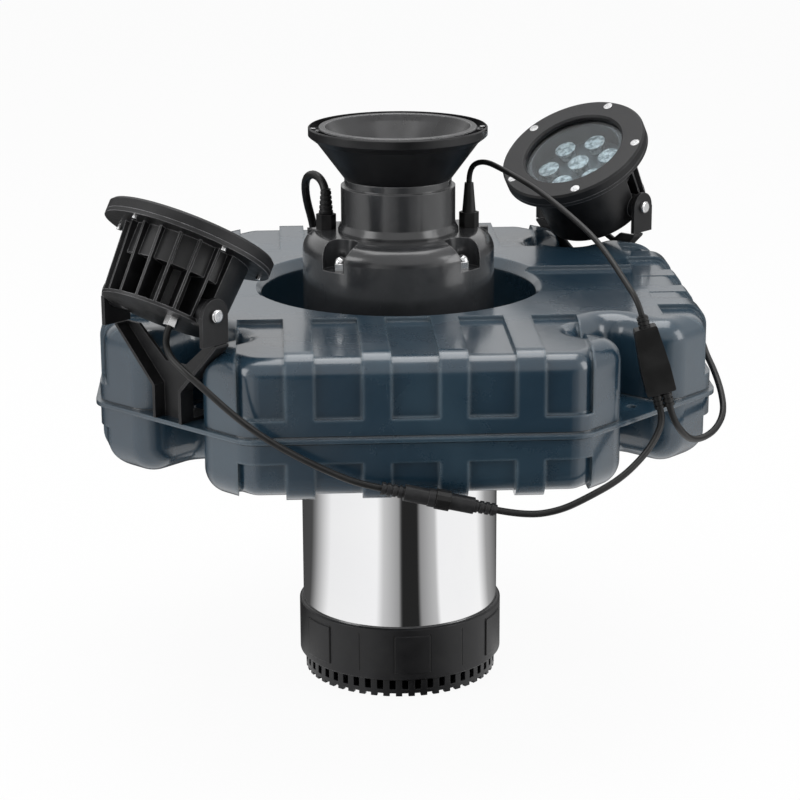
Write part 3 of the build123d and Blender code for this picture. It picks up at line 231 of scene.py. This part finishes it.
def show_by_ray(tree, surface, lit, kind, place, band_colour, white_share):
    """White to the camera and through glass, the studio's bands to mirrors, and lit to everything else."""
    path = add_node(tree, "ShaderNodeLightPath")
    bands = add_node(tree, "ShaderNodeGroup", node_tree=BANDS)
    white, banded = add_node(tree, kind), add_node(tree, kind)
    mirrored, shown = add_node(tree, "ShaderNodeMixShader"), add_node(tree, "ShaderNodeMixShader")
    white.inputs["Color"].default_value = WHITE
    banded.inputs["Color"].default_value = band_colour
    link(tree, place, bands.inputs["Place"])
    link(tree, bands.outputs["Brightness"], banded.inputs["Strength"])
    link(tree, path.outputs["Is Glossy Ray"], mirrored.inputs[0])
    link(tree, lit.outputs[0], mirrored.inputs[1])
    link(tree, banded.outputs[0], mirrored.inputs[2])
    seen = math(tree, "MAXIMUM", path.outputs["Is Camera Ray"], path.outputs["Is Transmission Ray"])
    link(tree, times(tree, seen, white_share), shown.inputs[0])
    link(tree, mirrored.outputs[0], shown.inputs[1])
    link(tree, white.outputs[0], shown.inputs[2])
    link(tree, shown.outputs[0], surface)


def add_floor():
    bpy.ops.mesh.primitive_plane_add(size=FLOOR_SIZE, location=(0, 0, -FLOOR_DROP))
    floor = bpy.context.object
    floor.name = "floor"
    material = bpy.data.materials.new("pale_floor")
    material.use_nodes = True
    tree = material.node_tree
    tree.nodes.clear()
    out = add_node(tree, "ShaderNodeOutputMaterial")
    matt = add_node(tree, "ShaderNodeBsdfDiffuse")
    matt.inputs["Color"].default_value = FLOOR_MATT
    show_by_ray(tree, out.inputs["Surface"], matt, "ShaderNodeEmission", coordinates(tree), WHITE, FLOOR_WHITE_SHARE)
    floor.data.materials.append(material)


def add_world():
    world = bpy.data.worlds.new("studio")
    scene.world = world
    world.use_nodes = True
    tree = world.node_tree
    tree.nodes.clear()
    out = add_node(tree, "ShaderNodeOutputWorld")
    soft = add_node(tree, "ShaderNodeBackground")
    soft.inputs["Color"].default_value = WHITE
    soft.inputs["Strength"].default_value = SOFT_LIGHT
    direction = coordinates(tree, "Generated")
    show_by_ray(tree, out.inputs["Surface"], soft, "ShaderNodeBackground", direction, WORLD_BAND_COLOUR, 1.0)


def add_light(name, place, aim, width, height, watts):
    data = bpy.data.lights.new(name, "AREA")
    data.shape = "RECTANGLE"
    data.size = width
    data.size_y = height
    data.energy = watts
    lamp = bpy.data.objects.new(name, data)
    lamp.location = place
    lamp.rotation_euler = (Vector(aim) - Vector(place)).to_track_quat("-Z", "Y").to_euler()
    scene.collection.objects.link(lamp)


BANDS = studio_bands()
add_camera()
add_floor()
add_world()
for light in LIGHTS:
    add_light(*light)
scene.view_settings.view_transform = "Standard"


# Finishes

SKIN_INPUTS = [
    ("Dark", "Color", (0, 0, 0, 1)), ("Light", "Color", WHITE), ("Edge", "Color", WHITE),
    ("Grain Scale", "Float", 900.0), ("Patch Scale", "Float", 12.0), ("Grain Share", "Float", 0.3),
    ("Rough Low", "Float", 0.3), ("Rough High", "Float", 0.5), ("Edge Wear And Highlight", "Float", 0.5),
    ("Edge Radius", "Float", 0.001), ("Stretch", "Vector", (1, 1, 1)),
]
SKIN_OUTPUTS = [("Colour", "Color"), ("Roughness", "Float"), ("Height", "Float"), ("Edge Normal", "Vector")]
SCUFF_STRETCH = (9, 9, 1)
SCUFF_FROM, SCUFF_FULL = 0.64, 0.70
SCUFF_COLOUR_SHARE, SCUFF_ROUGH_SHARE = 0.06, 0.10
PATCH_ROUGH_SHARE, GRAIN_ROUGH_SHARE, PATCH_HEIGHT_SHARE = 0.7, 0.3, 0.5
EDGE_FROM, EDGE_FULL = 0.995, 0.80


def moulded_skin():
    """Grain, cloudy patches, scuffs, and soft edges lightened partly as wear and partly as a painted highlight, on
    moulded, cast or coated skins.
    """
    tree, given, out = shader_group("moulded_skin", SKIN_INPUTS, SKIN_OUTPUTS)
    value = given.outputs
    place = coordinates(tree)
    drawn = stretched(tree, place, value["Stretch"])
    grain = noise(tree, drawn, value["Grain Scale"], 2.0, 0.6)
    patch = noise(tree, place, value["Patch Scale"], 4.0, 0.55, 0.4)
    scuff_line = noise(tree, stretched(tree, drawn, SCUFF_STRETCH), value["Patch Scale"], 6.0, 0.7, 1.2)
    scuff = spread(tree, scuff_line, SCUFF_FROM, SCUFF_FULL)

    soft_edge = add_node(tree, "ShaderNodeBevel", samples=6)
    link(tree, value["Edge Radius"], soft_edge.inputs["Radius"])
    turn = add_node(tree, "ShaderNodeVectorMath", operation="DOT_PRODUCT")
    link(tree, soft_edge.outputs[0], turn.inputs[0])
    link(tree, add_node(tree, "ShaderNodeNewGeometry").outputs["Normal"], turn.inputs[1])
    # Edges found by the Bevel node are lightened toward the Edge colour: partly wear, partly a painted edge
    # highlight.
    edge = spread(tree, turn.outputs["Value"], EDGE_FROM, EDGE_FULL)
    broken = spread(tree, patch, 0.35, 0.60, 0.35, 1.0)
    worn_and_highlit = times(tree, times(tree, edge, broken), value["Edge Wear And Highlight"])

    cloudy = spread(tree, patch, 0.35, 0.68, smooth=True)
    body = blend_colour(tree, cloudy, value["Dark"], value["Light"])
    scuffed = blend_colour(tree, times(tree, scuff, SCUFF_COLOUR_SHARE), body, value["Edge"])
    link(tree, blend_colour(tree, worn_and_highlit, scuffed, value["Edge"]), out.inputs["Colour"])

    mixed = math(tree, "ADD", times(tree, cloudy, PATCH_ROUGH_SHARE), times(tree, grain, GRAIN_ROUGH_SHARE))
    lifted = math(tree, "ADD", mixed, times(tree, scuff, SCUFF_ROUGH_SHARE), clamp=True)
    rough = spread(tree, lifted, 0.0, 1.0, value["Rough Low"], value["Rough High"])
    link(tree, rough, out.inputs["Roughness"])

    height = math(tree, "ADD", times(tree, grain, value["Grain Share"]), times(tree, patch, PATCH_HEIGHT_SHARE))
    link(tree, height, out.inputs["Height"])
    link(tree, soft_edge.outputs[0], out.inputs["Edge Normal"])
    return tree


SKIN = moulded_skin()


def line_at(tree, value, centre, half, soft):
    """A band round one value, 1 in the middle and 0 outside."""
    away = math(tree, "ABSOLUTE", math(tree, "SUBTRACT", value, centre))
    return spread(tree, away, half, half + soft, 1.0, 0.0)


def skin_material(name, dark, light, edge, rough, grain, patch, share, relief, wear_and_highlight=0.4, radius=0.001, metallic=0.0,
                  coat=0.0, coat_rough=0.2, shine=0.5, stretch=(1, 1, 1), marks=None):
    """One of the object's finishes: the skin group with its own values, in a Principled shader."""
    material, tree, shader = new_material(name)
    skin = add_node(tree, "ShaderNodeGroup", node_tree=SKIN)
    values = {"Dark": (*dark, 1), "Light": (*light, 1), "Edge": (*edge, 1), "Grain Scale": grain,
              "Patch Scale": patch, "Grain Share": share, "Rough Low": rough[0], "Rough High": rough[1],
              "Edge Wear And Highlight": wear_and_highlight, "Edge Radius": radius, "Stretch": stretch}
    for label, value in values.items():
        skin.inputs[label].default_value = value
    colour, height = skin.outputs["Colour"], skin.outputs["Height"]
    if marks:
        colour, height = marks(tree, colour, height)
    link(tree, colour, shader.inputs["Base Color"])
    link(tree, skin.outputs["Roughness"], shader.inputs["Roughness"])
    shader.inputs["Metallic"].default_value = metallic
    shader.inputs["Specular IOR Level"].default_value = shine
    shader.inputs["Coat Weight"].default_value = coat
    shader.inputs["Coat Roughness"].default_value = coat_rough
    bump = add_node(tree, "ShaderNodeBump")
    bump.inputs["Strength"].default_value = 1.0
    bump.inputs["Distance"].default_value = relief
    link(tree, height, bump.inputs["Height"])
    link(tree, skin.outputs["Edge Normal"], bump.inputs["Normal"])
    link(tree, bump.outputs[0], shader.inputs["Normal"])
    return material


SEAM_HEIGHT = 0.314
SEAM_LINE_OFFSET = 0.0030
SEAM_LINE_HALF, SEAM_LINE_SOFT = 0.0004, 0.0005
SEAM_DARK = (0.006, 0.010, 0.014, 1)
SEAM_STRENGTH = 0.6


def float_seam(tree, colour, height):
    """Two fine parting lines along the seam's flange."""
    up = split(tree, coordinates(tree))[2]
    upper, lower = [line_at(tree, up, SEAM_HEIGHT + side * SEAM_LINE_OFFSET, SEAM_LINE_HALF, SEAM_LINE_SOFT)
                    for side in (1, -1)]
    mark = times(tree, math(tree, "MAXIMUM", upper, lower), SEAM_STRENGTH)
    return blend_colour(tree, mark, colour, SEAM_DARK), math(tree, "SUBTRACT", height, mark)


BAND_LINES = 18
BAND_LINE_SHIFT = 0.3
BAND_LINE_HALF = 0.012
BAND_LOW, BAND_HIGH, BAND_SOFT = 0.0265, 0.0640, 0.0006
# Painted shade for the inside of the strainer's grooves, and how strongly it darkens the colour.
GROOVE_PAINTED_SHADE = (0.002, 0.002, 0.002, 1)
GROOVE_SHADE_SHARE, GROOVE_DEPTH = 0.7, 3.0


def strainer_lines(tree, colour, height):
    """Fine upright grooves round the strainer's plain band, with painted shade darkening the colour inside each
    groove.
    """
    right, away, up = split(tree, coordinates(tree))
    bearing = math(tree, "ARCTAN2", away, right)
    turns = math(tree, "ADD", times(tree, bearing, BAND_LINES / tau), BAND_LINE_SHIFT)
    groove = line_at(tree, math(tree, "FRACT", turns), 0.5, BAND_LINE_HALF, BAND_LINE_HALF)
    inside = line_at(tree, up, (BAND_LOW + BAND_HIGH) / 2, (BAND_HIGH - BAND_LOW) / 2, BAND_SOFT)
    mark = times(tree, groove, inside)
    # Painted shade: the colour is darkened inside each groove, besides the groove's bump.
    darker = blend_colour(tree, times(tree, mark, GROOVE_SHADE_SHARE), colour, GROOVE_PAINTED_SHADE)
    return darker, math(tree, "SUBTRACT", height, times(tree, mark, GROOVE_DEPTH))


# A finish for each material slot, and two for single parts
FINISHES = {
    # The float's light edge colour paints a highlight on its rib and rim edges, with some wear.
    "float_plastic": dict(
        name="float_skin", dark=(0.011, 0.032, 0.054), light=(0.018, 0.046, 0.072),
        edge=(0.075, 0.125, 0.165), rough=(0.22, 0.34), grain=700, patch=9, share=0.05, relief=0.0022,
        wear_and_highlight=0.9, radius=0.0045, coat=0.9, coat_rough=0.12, marks=float_seam),
    "black_plastic": dict(
        name="satin_black", dark=(0.008, 0.008, 0.009), light=(0.014, 0.014, 0.015),
        edge=(0.07, 0.07, 0.075), rough=(0.26, 0.40), grain=1600, patch=30, share=0.4, relief=0.00015,
        wear_and_highlight=0.35, radius=0.0008, shine=0.32),
    "grey_plastic": dict(
        name="charcoal_satin", dark=(0.030, 0.031, 0.033), light=(0.042, 0.043, 0.046),
        edge=(0.20, 0.20, 0.205), rough=(0.17, 0.25), grain=1400, patch=22, share=0.3, relief=0.00025,
        wear_and_highlight=0.7, radius=0.0018, coat=0.6, coat_rough=0.12),
    "polished_steel": dict(
        name="mirror_steel", dark=(0.86, 0.86, 0.87), light=(0.90, 0.90, 0.90),
        edge=(0.95, 0.95, 0.95), rough=(0.035, 0.075), grain=260, patch=5, share=0.02, relief=0.00003,
        wear_and_highlight=0.2, radius=0.0004, metallic=1.0, stretch=(1, 1, 12)),
    "plain_steel": dict(
        name="rolled_steel", dark=(0.46, 0.46, 0.47), light=(0.58, 0.58, 0.59),
        edge=(0.80, 0.80, 0.80), rough=(0.24, 0.36), grain=500, patch=20, share=0.4, relief=0.00005,
        radius=0.0006, metallic=1.0, stretch=(1, 1, 14)),
    "bright_steel": dict(
        name="bright_fasteners", dark=(0.64, 0.64, 0.65), light=(0.80, 0.80, 0.80),
        edge=(0.92, 0.92, 0.92), rough=(0.14, 0.26), grain=1500, patch=60, share=0.5, relief=0.00004,
        radius=0.0005, metallic=1.0),
    "core_steel": dict(
        name="laminated_steel", dark=(0.26, 0.26, 0.27), light=(0.38, 0.38, 0.39),
        edge=(0.5, 0.5, 0.5), rough=(0.36, 0.50), grain=300, patch=30, share=1.0, relief=0.0002,
        metallic=1.0, stretch=(0.2, 0.2, 10)),
    "bearing_steel": dict(
        name="ground_steel", dark=(0.50, 0.50, 0.51), light=(0.62, 0.62, 0.62),
        edge=(0.8, 0.8, 0.8), rough=(0.18, 0.30), grain=900, patch=40, share=0.5, relief=0.00004,
        metallic=1.0, stretch=(1, 1, 20)),
    "winding": dict(
        name="enamelled_copper", dark=(0.36, 0.12, 0.04), light=(0.55, 0.22, 0.08),
        edge=(0.7, 0.35, 0.15), rough=(0.28, 0.42), grain=350, patch=40, share=1.0, relief=0.0005,
        metallic=1.0, stretch=(6, 6, 1)),
    "cast_alloy": dict(
        name="cast_alloy", dark=(0.30, 0.30, 0.31), light=(0.42, 0.42, 0.43),
        edge=(0.6, 0.6, 0.6), rough=(0.42, 0.58), grain=800, patch=60, share=1.0, relief=0.0003,
        metallic=1.0),
    "gland_plastic": dict(
        name="black_nylon", dark=(0.008, 0.008, 0.008), light=(0.013, 0.013, 0.013),
        edge=(0.06, 0.06, 0.06), rough=(0.34, 0.50), grain=2200, patch=80, share=0.6, relief=0.00012,
        radius=0.0006, shine=0.32),
    "black_paint": dict(
        name="powder_coat", dark=(0.010, 0.010, 0.011), light=(0.016, 0.016, 0.017),
        edge=(0.20, 0.20, 0.21), rough=(0.34, 0.48), grain=2600, patch=45, share=0.8, relief=0.00012,
        wear_and_highlight=0.6, radius=0.0008, shine=0.32),
    "cord_rubber": dict(
        name="cord_sheath", dark=(0.009, 0.009, 0.009), light=(0.014, 0.014, 0.014),
        edge=(0.05, 0.05, 0.05), rough=(0.28, 0.42), grain=2200, patch=40, share=0.4, relief=0.00006,
        wear_and_highlight=0.1, radius=0.0003, shine=0.32),
    "connector_plastic": dict(
        name="connector_black", dark=(0.012, 0.012, 0.013), light=(0.020, 0.020, 0.021),
        edge=(0.08, 0.08, 0.085), rough=(0.34, 0.48), grain=2400, patch=70, share=0.6, relief=0.00012,
        radius=0.0007, shine=0.32),
    "nut_plastic": dict(
        name="nut_black", dark=(0.007, 0.007, 0.007), light=(0.012, 0.012, 0.012),
        edge=(0.06, 0.06, 0.06), rough=(0.30, 0.44), grain=2400, patch=70, share=0.6, relief=0.00012,
        radius=0.0005, shine=0.32),
    # The fins' light edge colour is partly a painted highlight on their thin edges, partly wear.
    "lamp_alloy": dict(
        name="lamp_coat", dark=(0.008, 0.008, 0.009), light=(0.014, 0.014, 0.015),
        edge=(0.36, 0.36, 0.37), rough=(0.32, 0.46), grain=2400, patch=60, share=0.9, relief=0.00015,
        wear_and_highlight=1.0, radius=0.0011, shine=0.45),
    "lamp_bezel": dict(
        name="bezel_coat", dark=(0.010, 0.010, 0.011), light=(0.016, 0.016, 0.017),
        edge=(0.18, 0.18, 0.19), rough=(0.36, 0.50), grain=2600, patch=60, share=0.9, relief=0.00015,
        wear_and_highlight=0.6, radius=0.0009, shine=0.32),
    "led_board": dict(
        name="lamp_board", dark=(0.055, 0.065, 0.070), light=(0.085, 0.098, 0.105),
        edge=(0.2, 0.22, 0.23), rough=(0.38, 0.52), grain=1800, patch=80, share=0.5, relief=0.0001),
    "lens_plastic": dict(
        name="lens_clear", dark=(0.16, 0.18, 0.18), light=(0.70, 0.74, 0.74),
        edge=(0.95, 0.97, 0.98), rough=(0.04, 0.12), grain=900, patch=170, share=0.2, relief=0.00005,
        coat=1.0, coat_rough=0.03),
    "seal_rubber": dict(
        name="seal_rubber", dark=(0.014, 0.014, 0.014), light=(0.022, 0.022, 0.022),
        edge=(0.06, 0.06, 0.06), rough=(0.50, 0.66), grain=1800, patch=60, share=0.8, relief=0.00012),
}
OWN_FINISHES = {
    "strainer_base": dict(
        name="strainer_black", dark=(0.008, 0.008, 0.009), light=(0.013, 0.013, 0.014),
        edge=(0.07, 0.07, 0.075), rough=(0.28, 0.42), grain=1600, patch=26, share=0.4, relief=0.00018,
        wear_and_highlight=0.4, radius=0.0010, shine=0.32, marks=strainer_lines),
    # The bowl's rim is lightened partly as a painted highlight, partly as wear.
    "nozzle_inner_cone": dict(
        name="bowl_charcoal", dark=(0.014, 0.014, 0.015), light=(0.023, 0.023, 0.025),
        edge=(0.42, 0.42, 0.43), rough=(0.24, 0.36), grain=1500, patch=30, share=0.4, relief=0.00015,
        wear_and_highlight=1.0, radius=0.0020, coat=0.3),
}


WATER_GREY, WATER_CLEAR = (0.78, 0.90, 0.96, 1), (0.90, 0.96, 0.99, 1)
GLASS_IOR = 1.45


def lamp_glass():
    """Pale blue flat glass with faint water marks."""
    material, tree, shader = new_material("lamp_glass")
    marks = noise(tree, coordinates(tree), 60.0, 4.0, 0.6, 0.5)
    link(tree, blend_colour(tree, marks, WATER_GREY, WATER_CLEAR), shader.inputs["Base Color"])
    link(tree, spread(tree, marks, 0.3, 0.7, 0.02, 0.07), shader.inputs["Roughness"])
    shader.inputs["Transmission Weight"].default_value = 1.0
    shader.inputs["IOR"].default_value = GLASS_IOR
    return material


finish = {slot: skin_material(**look) for slot, look in FINISHES.items()}
own_finish = {part: skin_material(**look) for part, look in OWN_FINISHES.items()}
finish["lamp_glass"] = lamp_glass()

for part in frame["record"]["subparts"]:
    materials = nodes[part["node"]].data.materials
    materials.clear()
    materials.append(own_finish.get(part["node"], finish[part["material_slot"]]))


# Cords: routes in millimetres

LIGHT_LEAD = [
    (68.0, 10.0, 480.0), (68.0, 10.0, 495.0), (80.0, -10.0, 505.0), (97.0, -36.0, 500.0), (115.0, -66.0, 493.5),
    (128.6, -102.0, 488.4), (143.0, -130.0, 479.8), (163.0, -164.0, 465.0), (175.2, -192.0, 451.0),
    (184.5, -214.0, 436.5), (194.62, -236.0, 421.36), (197.99, -236.0, 408.8),
]
LEFT_LEAD = [
    (215.74, -236.0, 325.56), (218.58, -236.0, 314.94), (212.5, -243.5, 302.0), (201.0, -254.5, 289.0),
    (177.6, -271.0, 272.5), (148.5, -282.5, 260.4), (122.7, -287.5, 250.0), (93.78, -287.0, 246.25),
    (68.4, -287.0, 251.9),
]
RIGHT_LEAD = [
    (224.24, -236.0, 327.84), (227.34, -236.0, 316.25), (236.0, -230.0, 302.0), (247.0, -217.0, 290.0),
    (262.0, -199.0, 286.0), (277.0, -178.0, 288.0), (288.0, -154.0, 296.0), (290.5, -126.0, 307.0),
    (289.0, -96.0, 319.0), (286.5, -66.0, 327.0), (286.8, -39.95, 332.62), (286.8, -20.0, 334.0),
]
LEFT_LAMP_CORD = [
    (-208.37, -246.55, 409.34), (-212.49, -250.67, 400.01), (-209.0, -265.0, 388.5), (-197.0, -278.0, 379.0),
    (-180.5, -287.5, 366.0), (-155.0, -290.0, 341.7), (-129.6, -287.5, 320.5), (-98.0, -287.5, 301.0),
    (-64.0, -287.0, 284.0), (-45.04, -287.0, 277.16), (-30.4, -287.0, 273.9),
]
RIGHT_LAMP_CORD = [
    (208.37, 246.55, 409.34), (212.49, 250.67, 400.01), (221.0, 252.0, 386.0), (237.0, 238.0, 374.0),
    (254.0, 214.0, 364.0), (271.0, 186.0, 355.0), (284.0, 156.0, 349.0), (289.0, 130.0, 345.0),
    (286.8, 102.95, 342.52), (286.8, 81.0, 341.0),
]
POWER_CORD_RISE = [
    (-68.0, 10.0, 462.0), (-68.0, 10.0, 474.0), (-72.0, 18.0, 484.0), (-80.0, 32.0, 487.0), (-87.0, 50.0, 478.0),
    (-86.0, 66.0, 455.0), (-78.0, 74.0, 425.0), (-75.0, 76.0, 380.0), (-77.0, 74.0, 320.0), (-75.0, 76.0, 260.0),
    (-77.0, 78.0, 190.0), (-74.0, 86.0, 125.0), (-66.0, 93.0, 76.0), (-64.0, 106.0, 50.0), (-63.0, 126.0, 38.5),
    (-63.5, 148.0, 36.0), (-64.5, 170.0, 36.0),
]
COIL_CENTRE = (10.0, 225.0)
COIL_LAYERS = (36.0, 28.0, 20.0, 12.0, 4.0)
COIL_ROWS = (84.0, 76.0, 68.0, 60.0)
COIL_START = radians(203)
COIL_STEP_FROM = 0.75
TURN_POINTS = 16
PLUG_AXIS_Y = 245.0
PLUG_HEIGHT = 12.0
CORD_TO_PLUG = [
    (-49.0, 232.0, 5.0), (-46.0, 240.0, 8.0), (-39.0, 245.0, 11.0), (-30.0, 245.0, 12.0), (-20.0, 245.0, 12.0),
]

ROUND_STEPS = 5
ROUTE_STEPS, LONG_ROUTE_STEPS = 12, 4
LONG_ROUTE = 60
CREASE = radians(35)

# Boots: start, end, radius, tip radius, ribs
POWER_BOOT = (452.0, 476.0, 6.9, 5.0, 5)
PLUG_BOOT = (7.0, 30.0, 7.0, 5.2, 5)
BOOT_LIP = 0.6
# One rib: radius past the taper, and share of the rib's pitch
RIB = [(0.15, 0.58), (-0.25, 0.66), (-0.75, 0.72), (-0.75, 0.94), (-0.1, 1.0)]

PLUG_BODY = (38.0, 34.0, 23.6)
PLUG_BODY_X = 11.0
PLUG_ROUNDING = 5.0
PIN_PROFILE = [(1.6, 29.0), (2.0, 29.4), (2.0, 47.2), (1.4, 48.0)]
PIN_OFFSET = 9.5
PIN_SIDES = 24

# name, route, diameter, length, solid that it replaces, piece at its far end
LEADS = [
    ("light_lead_cord", LIGHT_LEAD, 0.0052, 0.321, "light_lead", "splitter"),
    ("left_lead_cord", LEFT_LEAD, 0.006, 0.196, "left_lead", "left_socket"),
    ("right_lead_cord", RIGHT_LEAD, 0.006, 0.267, "right_lead", "right_socket"),
]
LAMP_CORDS = [("left", LEFT_LAMP_CORD, 0.250), ("right", RIGHT_LAMP_CORD, 0.225)]
LAMP_CORD_DIAMETER = 0.006
POWER_CORD_DIAMETER = 0.008


def route_curve(name, route, radius):
    """An open spline through the route, as thick as the radius says."""
    curve = bpy.data.curves.new(name, "CURVE")
    curve.dimensions = "3D"
    curve.bevel_depth = radius
    curve.bevel_resolution = ROUND_STEPS
    curve.resolution_u = ROUTE_STEPS if len(route) < LONG_ROUTE else LONG_ROUTE_STEPS
    curve.use_fill_caps = True
    spline = curve.splines.new("NURBS")
    spline.points.add(len(route) - 1)
    for point, place in zip(spline.points, route):
        point.co = (*metres(place), 1)
    spline.order_u = 3
    spline.use_endpoint_u = True
    piece = bpy.data.objects.new(name, curve)
    scene.collection.objects.link(piece)
    return piece


def still_cord(name, route, diameter, *replaced):
    """A cord that no joint moves, as a curve."""
    piece = route_curve(name, route, diameter / 2)
    piece.data.materials.append(finish["cord_rubber"])
    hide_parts(*replaced)
    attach(piece, "root")
    return piece


def route_points(name, route):
    """Points along the route's own spline."""
    line = route_curve(name + "_line", route, 0.0)
    mesh = bpy.data.meshes.new_from_object(line)
    points = [vertex.co.copy() for vertex in mesh.vertices]
    bpy.data.meshes.remove(mesh)
    bpy.data.objects.remove(line)
    return points


def moving_cord(name, route, diameter, replaced):
    """A cord as a mesh tube, with the points that it follows."""
    line = route_curve(name + "_tube", route, diameter / 2)
    mesh = bpy.data.meshes.new_from_object(line)
    bpy.data.objects.remove(line)
    mesh.materials.clear()
    mesh.materials.append(finish["cord_rubber"])
    for face in mesh.polygons:
        face.use_smooth = True
    piece = bpy.data.objects.new(name, mesh)
    scene.collection.objects.link(piece)
    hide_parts(replaced)
    return piece, route_points(name, route)


def coil_route():
    """The stored turns, wound clockwise from the outer row of the top layer."""
    rows = []
    for index, height in enumerate(COIL_LAYERS):
        ordered = COIL_ROWS if index % 2 == 0 else COIL_ROWS[::-1]
        rows += [(radius, height) for radius in ordered]
    points = []
    for step in range(len(rows) * TURN_POINTS):
        turn, part = divmod(step, TURN_POINTS)
        radius, height = rows[turn]
        next_radius, next_height = rows[min(turn + 1, len(rows) - 1)]
        late = max(0.0, (part / TURN_POINTS - COIL_STEP_FROM) / (1 - COIL_STEP_FROM))
        radius += (next_radius - radius) * late
        height += (next_height - height) * late
        angle = COIL_START - step * tau / TURN_POINTS
        points.append((COIL_CENTRE[0] + radius * cos(angle), COIL_CENTRE[1] + radius * sin(angle), height))
    return points


def length_of(route):
    points = route_points("measured", route)
    return sum((after - before).length for before, after in zip(points, points[1:]))


def made_piece(name, shape, slot, place):
    """A mesh piece in millimetres, placed and turned into metres."""
    mesh = bpy.data.meshes.new(name)
    shape.transform(Matrix.Scale(MILLIMETRE, 4) @ place)
    bmesh.ops.recalc_face_normals(shape, faces=shape.faces)
    shape.to_mesh(mesh)
    shape.free()
    for face in mesh.polygons:
        face.use_smooth = True
    mesh.materials.append(finish[slot])
    mesh.set_sharp_from_angle(angle=CREASE)
    piece = bpy.data.objects.new(name, mesh)
    scene.collection.objects.link(piece)
    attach(piece, "root")
    return piece


def turned(profile, sides=48):
    """A solid turned about Z from (radius, height) points, closed at both ends."""
    shape = bmesh.new()
    rings = []
    for radius, height in profile:
        angles = [tau * side / sides for side in range(sides)]
        rings.append([shape.verts.new((radius * cos(angle), radius * sin(angle), height)) for angle in angles])
    for lower, upper in zip(rings, rings[1:]):
        for side in range(sides):
            after = (side + 1) % sides
            shape.faces.new((lower[side], lower[after], upper[after], upper[side]))
    shape.faces.new(rings[0][::-1])
    shape.faces.new(rings[-1])
    return shape


def ribbed_boot(start, end, radius, tip, ribs):
    """A tapered boot with rounded ribs."""
    points = [(radius * 0.96, start), (radius, start + BOOT_LIP)]
    pitch = (end - start - 2 * BOOT_LIP) / ribs
    for rib in range(ribs):
        base = start + BOOT_LIP + rib * pitch
        size = radius + (tip - radius) * (rib + 1) / ribs
        points += [(size + past, base + pitch * share) for past, share in RIB]
    return turned(points + [(tip - 0.5, end)])


def rounded_block(length, width, height, radius):
    shape = bmesh.new()
    bmesh.ops.create_cube(shape, size=1.0, matrix=Matrix.Diagonal((length, width, height, 1)))
    bmesh.ops.bevel(shape, geom=shape.edges[:], offset=radius, segments=5, profile=0.5, affect="EDGES")
    return shape


for name, route, diameter, length, replaced, far_piece in LEADS:
    lead = still_cord(name, route, diameter, replaced)

for side, route, length in LAMP_CORDS:
    cord, path = moving_cord(side + "_lamp_tail", route, LAMP_CORD_DIAMETER, side + "_lamp_cord")
    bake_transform(cord)

power_route = POWER_CORD_RISE + coil_route() + CORD_TO_PLUG
power_cord = still_cord("power_cord_and_coil", power_route, POWER_CORD_DIAMETER, "power_cord", "power_coil")
exit_x, exit_y, _ = POWER_CORD_RISE[0]
made_piece("power_cord_boot", ribbed_boot(*POWER_BOOT), "gland_plastic", Matrix.Translation((exit_x, exit_y, 0.0)))

plug_axis = Matrix.Translation((0.0, PLUG_AXIS_Y, PLUG_HEIGHT))
plug_body = made_piece("plug_body", rounded_block(*PLUG_BODY, PLUG_ROUNDING), "connector_plastic",
                       plug_axis @ Matrix.Translation((PLUG_BODY_X, 0.0, 0.0)))
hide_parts("power_plug")
plug_boot = made_piece("plug_boot", ribbed_boot(*PLUG_BOOT), "connector_plastic",
                       plug_axis @ Matrix.Rotation(-pi / 2, 4, "Y"))
pins = [made_piece("plug_pin_" + side, turned(PIN_PROFILE, PIN_SIDES), "bright_steel",
                   Matrix.Translation((0.0, offset, 0.0)) @ plug_axis @ Matrix.Rotation(pi / 2, 4, "Y"))
        for side, offset in (("left", PIN_OFFSET), ("right", -PIN_OFFSET))]
length_of(power_route)
